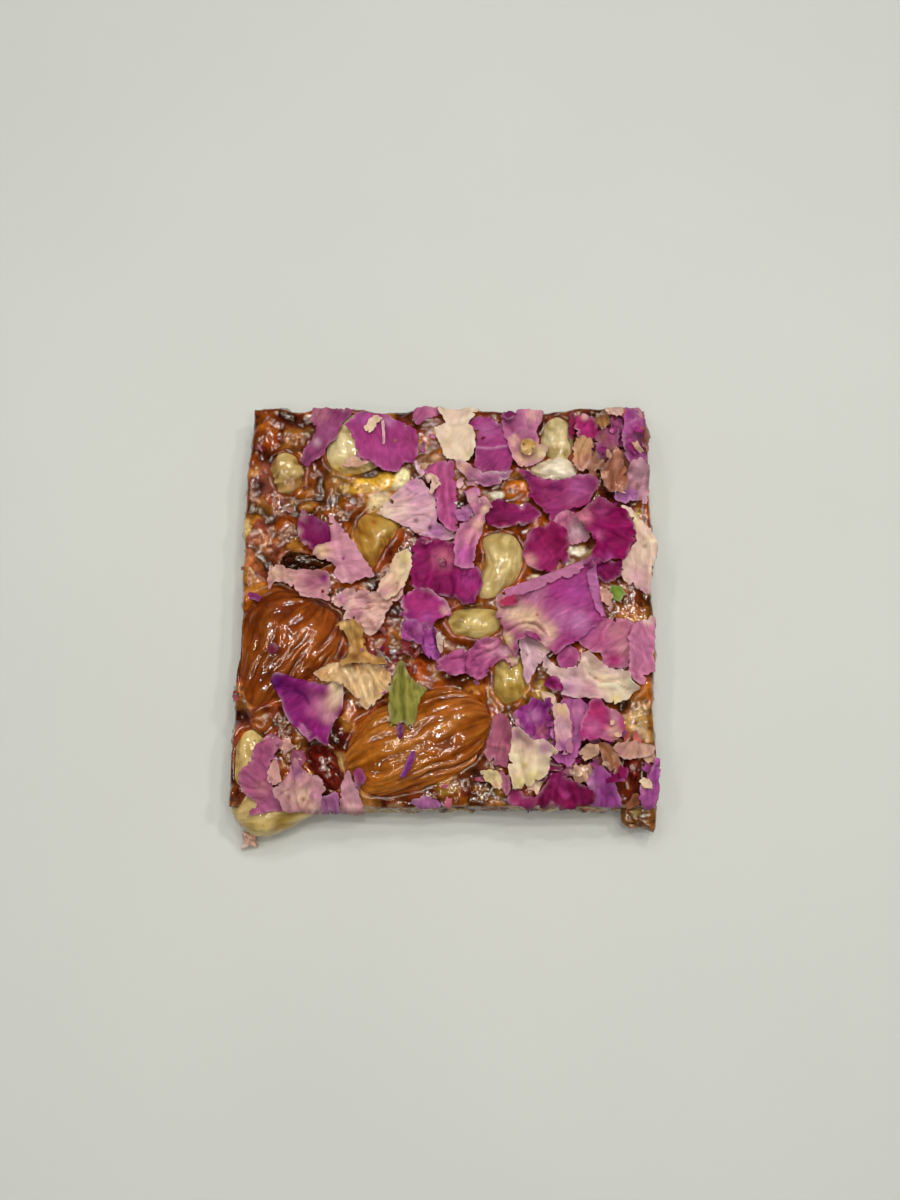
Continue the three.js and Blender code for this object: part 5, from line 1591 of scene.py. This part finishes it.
# Writes the places that the veins fan out over, with the base at 0, as the UV map "flow".
def writeFlow(piece, flow):
    layer = piece.data.uv_layers.active or piece.data.uv_layers.new(name="flow")
    layer.name = "flow"
    corners = np.zeros(len(piece.data.loops), np.int32)
    piece.data.loops.foreach_get("vertex_index", corners)
    layer.data.foreach_set("uv", flow[corners].astype(np.float32).ravel())


# Lays one petal: outline, folds, what it rests on, its own curl and wrinkles, then its thickness.
def layPetal(name, given):
    spec = {**petalUsual, **given}
    look, slot = petalKinds[spec["kind"]]
    seed = sum(map(ord, name)) % 97
    pixels = pixelsOf(spec["outline"])
    height = float(np.mean(restingSurface(fromPhoto(pixels, petalHeight), 1.0))) + spec["lift"] + 0.2
    foldLines = openFolds(spec["folds"], pixels, height)
    outline = tornRim(resample(smoothCurve(fromPhoto(pixels, height), 6, 0.3), 0.1), spec["jag"], seed)
    size = np.ptp(outline, 0).max()
    piece = petalMesh(name + "_sheet" if "_" in name else name, outline, 0.2 if size > 4 else 0.14)
    flat = placesOf(piece)[:, :2]
    rimAway = lineDistance(flat, outline, True)
    base = fromPhoto([spec["base"] or pixels[0]], height)[0]
    towards = flat.mean(0) - base
    towards /= max(np.linalg.norm(towards), 1e-6)
    flow = np.column_stack([(flat - base) @ np.array([towards[1], -towards[0]]), (flat - base) @ towards])
    plan, raised, turned, backs = foldBack(flat, spec["folds"], foldLines)
    rest = restingSurface(plan, spec["stiff"])
    spot = np.column_stack([plan, np.full(len(plan), float(seed))])
    # dried sheets crease in sharp lines that fan out from the base, and their rims curl up in places
    fanned = np.column_stack([flow[:, 0], 0.55 * flow[:, 1], np.full(len(flat), float(seed))])
    creases = creased(fanned, 2.6, seed) - 0.8 * creased(fanned, 2.1, seed + 1)
    creases += 0.25 * creased(spot, 1.3, seed + 2) - 0.2 * creased(spot, 0.9, seed + 5)
    waves = layered(spot, [(2.0, 0.5, seed + 7), (0.7, 0.15, seed + 8)])
    curl = np.clip(0.25 + 2.4 * noiseAt(spot, 3.4, seed + 3), 0, 1) * np.exp(-rimAway / 0.75)
    ruffle = noiseAt(spot, 1.2, seed + 4) * np.exp(-rimAway / 0.9)
    z = rest + spec["lift"] + 0.16 + 0.35 * noiseAt(spot, 5.0, seed + 6)
    z += spec["wrinkle"] * (1.8 * creases + waves)
    z += (2.0 * spec["rim"] * curl + 1.6 * spec["ruffle"] * ruffle) * (turned < 0.2)
    seen = toPhoto(np.column_stack([plan, np.full(len(plan), height + 0.3)]))
    for x, y, rise, radius in spec["bumps"]:
        z += rise * np.exp(-(pixelsAway(seen, x, y) / radius) ** 2)
    for line, rise, half in spec["ridges"]:
        z += rise * np.exp(-(lineDistance(seen, line) * pixel / half) ** 2)
    z = np.maximum(z, rest + 0.02) + raised
    z = np.minimum(z, sheetTop + 0.4 * (z - sheetTop))
    places = np.column_stack([plan, z])
    # painted warm light, and painted sheen with dust, laid over the petal's colour
    tint = tintBySpots(seen, spec["colour"], spec["tints"]) * warmLightTone + dustAndSheen
    for line, colour, half in spec["lines"]:
        tint = mixed(tint, hexLinear(colour), 0.8 * np.exp(-(lineDistance(seen, line) * pixel / half) ** 2))
    # the rims are made paler in patches
    rimPaling = spec["paleRim"] * np.exp(-(rimAway / 0.25) ** 2)
    tint = mixed(tint, hexLinear(paleRimColour), rimPaling * np.clip(0.5 + 2.5 * noiseAt(spot, 1.5, seed + 9), 0, 1.4))
    mottled = 0.16 * noiseAt(spot, 1.8, seed + 10) + 0.2 * noiseAt(fanned, 0.6, seed + 11)
    tint *= (1 + mottled * (0.4 if spec["kind"] == "cream" else 1))[:, None].clip(0.8, 1.2)
    # the fold's back gets the same painted warm light
    for share, colour in backs:
        tint = mixed(tint, hexLinear(colour) * warmLightTone, share)
    creaseShade = z - raised - evened(piece, z - raised, 12)   # painted shade in the creases, partly their own darker colour, and painted light on the crests
    tint *= np.clip(1 + 1.2 * creaseShade, 0.7, 1.15)[:, None]
    writeFlow(piece, flow)
    settle(piece, places, tint, spec["thick"])
    thicken(piece, spec["thick"], 55)
    finishPiece(piece, looks[look], [name] if name in frame["nodes"] else [])


# Small scraps of petal. zones: pixel, radius in pixels, how many, size in mm, colours.
scraps = {
    "outlines": [
        [(-1.0, -0.3), (-0.5, -0.8), (0.2, -0.5), (0.9, -0.6), (1.1, 0.1), (0.4, 0.5), (-0.2, 0.8),
         (-0.7, 0.3)],
        [(-0.4, -1.1), (0.3, -0.7), (0.5, 0.1), (0.3, 1.0), (-0.3, 1.2), (-0.6, 0.3), (-0.3, -0.4)],
        [(-0.9, -0.6), (0.0, -0.9), (0.8, -0.4), (0.5, 0.2), (0.9, 0.8), (0.0, 0.6), (-0.8, 0.7),
         (-0.5, 0.0)],
    ],
    "cell": 0.26,
    "thick": 0.06,
    "over": (3.0, 11.0),   # lowest and highest place that one may lie on: not past the rim
    "nearest": -26.6,      # and not past the near rim
    "offNut": 0.3,         # nor on a nut
    "zones": [
        (622, 440, 32, 40, (0.8, 1.8), ["#8E2F78", "#A0486A", "#B4606E", "#7A1F54", "#D2A896", "#9A5A4A"]),
        (600, 510, 34, 12, (0.6, 1.3), ["#B87FA0", "#7E1858", "#D8B8B0", "#8A2A6A"]),
        (560, 740, 52, 50, (0.8, 2.1), ["#A04C90", "#B878A0", "#7C1654", "#D8B4A4", "#A8588A", "#8E3076"]),
        (620, 770, 40, 34, (0.7, 1.7), ["#9A6048", "#A04C90", "#D0A898", "#7C1654", "#B05A5A"]),
        (440, 590, 44, 22, (0.6, 1.5), ["#8A1C60", "#A03C80", "#B4628A", "#6C0A48"]),
        (450, 500, 36, 14, (0.6, 1.3), ["#B070A8", "#D8A8B8", "#8A2A70", "#C890A8"]),
        (282, 775, 40, 14, (0.6, 1.5), ["#A86888", "#9A5478", "#BE9090", "#8A3A66"]),
        (268, 470, 44, 14, (0.4, 0.9), ["#6A2030", "#844248", "#96605C", "#5A1426"]),
        (400, 655, 34, 12, (0.5, 1.0), ["#7A2A34", "#96545A", "#A87068", "#5E1824"]),
        (258, 590, 30, 4, (0.4, 0.8), ["#8A4A48", "#7C1E5A", "#96584C"]),
        (250, 700, 26, 7, (0.4, 0.8), ["#8A3040", "#A05060", "#6A1830"]),
        (455, 440, 60, 12, (0.5, 1.1), ["#8A2A70", "#D0A098", "#A8588A"]),
        (450, 795, 46, 8, (0.5, 1.0), ["#8A3A6A", "#B0607A", "#A0486A", "#6E1A48"]),
        (520, 640, 60, 10, (0.4, 1.0), ["#D8B8B0", "#A03C80", "#B878A0"]),
    ],
    # a few lie on top of all
    "onTop": [
        (450, 610, 185, 16, (0.2, 0.4), ["#7C1654", "#A04C90", "#6A1828", "#D0A098"]),
        (620, 446, 28, 20, (0.6, 1.3), ["#8E2F78", "#B4606E", "#D2A896", "#9A5A4A"]),
        (430, 575, 34, 2, (0.6, 1.0), ["#8A1C60", "#B4628A", "#6C0A48"]),
        (575, 735, 44, 9, (0.6, 1.4), ["#A04C90", "#B878A0", "#D8B4A4"]),
        (622, 776, 30, 8, (0.6, 1.2), ["#9A6048", "#A04C90", "#7C1654"]),
    ],
}


# Copies a small master sheet, bends each copy its own way, lays it down and joins them all.
def scatterScraps(name, zones):
    masters = []
    for number, outline in enumerate(scraps["outlines"]):
        ring = resample(smoothCurve(np.array(outline, float), 4, 0.15), 0.12)
        masters.append(petalMesh(f"scrap{number}", ring, scraps["cell"]))
    copies = []
    for x, y, radius, count, sizes, colours in zones:
        for _ in range(count):
            angle, reach = randomness.uniform(0, 2 * math.pi), radius * math.sqrt(randomness.uniform())
            pixelPlace = (x + reach * math.cos(angle), y + reach * math.sin(angle))
            place = fromPhoto([pixelPlace], petalHeight)[0]
            size, slim = randomness.uniform(*sizes), randomness.uniform(0.55, 1.0)
            turn, colour = randomness.uniform(0, 2 * math.pi), colours[randomness.integers(len(colours))]
            activate(masters[randomness.integers(len(masters))])
            bpy.ops.object.duplicate()
            copy = bpy.context.object
            flat = placesOf(copy)[:, :2] * (size, size * slim)
            spot = np.column_stack([flat, np.full(len(flat), float(len(copies)))])
            plan = place + turnedBy(flat, turn)
            cell = np.round((plan + mapHalf) / mapStep).astype(int).clip(0, mapCells - 1)
            under = heightMap[cell[:, 1], cell[:, 0]]
            onNut = min(gapToNut(place[None], node)[0] for node in nuts) < scraps["offNut"]
            low, high = scraps["over"]
            if onNut or under.min() < low or under.max() > high or plan[:, 1].min() < scraps["nearest"]:
                copies.append(copy)
                copy.name = "dropped"
                continue
            rest = restingSurface(plan, 0.5)
            z = rest + 0.05 + 0.16 * size * (noiseAt(spot, 1.3) + 0.4 + creased(spot, 1.4, 3))
            places = np.column_stack([plan, np.maximum(z, rest + 0.02)])
            # painted warm light in the scraps' colour
            tint = np.tile(hexLinear(colour) * warmLightTone, (len(flat), 1))
            tint *= (1 + 0.8 * noiseAt(spot, 0.9, 5) + 0.5 * (noiseAt(spot, 2.0, 6)))[:, None].clip(0.5, 1.6)
            settle(copy, places, tint, scraps["thick"])
            copies.append(copy)
    bpy.ops.object.select_all(action="DESELECT")
    for piece in masters + [copy for copy in copies if copy.name.startswith("dropped")]:
        piece.select_set(True)
    bpy.ops.object.delete()
    kept = [piece for piece in bpy.context.scene.objects if piece.name.startswith("scrap")]
    for piece in kept:
        piece.select_set(True)
    bpy.context.view_layer.objects.active = kept[0]
    bpy.ops.object.join()
    joined = bpy.context.object
    joined.name = name
    thicken(joined, scraps["thick"], 50)
    finishPiece(joined, looks["scrap"])


scatterScraps("petal_scraps", scraps["zones"])
print("scraps strewn")
for name, given in petals.items():
    layPetal(name, given)
print("petals laid", len(petals))
scatterScraps("top_scraps", scraps["onTop"])
print("top scraps strewn")

# Table and light: a pale table top under a soft ceiling light, lamps, and tubes that glint in the glaze.
light = {
    "table": "#DDDED4",
    "sky": 0.14,
    # place in mm, size in mm, watts
    "ceiling": [((-10, 20, 520), (420, 340), 0.3)],
    "lamps": [((-15, 30, 450), 30, 0.24), ((-40, 290, 430), 30, 0.2), ((130, 230, 430), 30, 0.23),
              ((-190, 190, 400), 30, 0.13), ((230, 90, 400), 30, 0.24), ((-220, -30, 400), 30, 0.11),
              ((80, 110, 450), 30, 0.18), ((130, -120, 430), 30, 0.16), ((-50, -200, 400), 30, 0.13)],
    # ceiling tubes that only show as highlights: place, width and length, watts
    "tubes": [((-140, 60, 420), (7, 420), 0.62), ((40, 60, 460), (7, 420), 0.62),
              ((200, 60, 420), (7, 420), 0.5)],
    "tubeColour": "#FFE8C0",
}


# Laminate table top: pale and matt, faintly cloudy.
def buildTable():
    bpy.ops.object.select_all(action="DESELECT")
    bpy.ops.mesh.primitive_plane_add(size=3)
    table = bpy.context.object
    table.name = "table_top"
    material, tree, shader = startMaterial("laminateTableTop")
    pale = hexLinear(light["table"])
    colour = cloud(tree, 60, 3, [(0.3, 0.97 * pale), (0.7, pale)])
    setInputs(tree, shader, {"Base Color": colour, "Roughness": 0.35, "Specular IOR Level": 0.08})
    table.data.materials.append(material)


def addLamp(place, size, watts, name):
    lamp = bpy.data.lights.new(name, "AREA")
    lamp.shape = "RECTANGLE"
    lamp.size, lamp.size_y = (side * mm for side in (size if isinstance(size, tuple) else (size, size)))
    lamp.energy = watts
    holder = bpy.data.objects.new(name, lamp)
    bpy.context.scene.collection.objects.link(holder)
    holder.location = Vector(place) * mm
    holder.visible_glossy = not name.startswith("ceiling")   # only lamps and tubes make highlights
    holder.visible_diffuse = not name.startswith("tube")
    if name.startswith("tube"):
        lamp.color = hexLinear(light["tubeColour"])
    else:
        holder.rotation_euler = (-Vector(place)).to_track_quat("-Z", "Y").to_euler()


buildTable()
for kind, rows in (("ceiling", light["ceiling"]), ("lamp", light["lamps"]), ("tube", light["tubes"])):
    for number, (place, size, watts) in enumerate(rows):
        addLamp(place, size, watts, f"{kind}_{number}")
sky = bpy.data.worlds.new("sky")
sky.use_nodes = True
sky.node_tree.nodes["Background"].inputs["Color"].default_value = (0.98, 0.99, 1.0, 1)
sky.node_tree.nodes["Background"].inputs["Strength"].default_value = light["sky"]
sky.cycles_visibility.glossy = False   # it fills the shade, but puts no veil on the glaze
bpy.context.scene.world = sky
bpy.context.scene.view_settings.view_transform = "Standard"
print("table and light set")
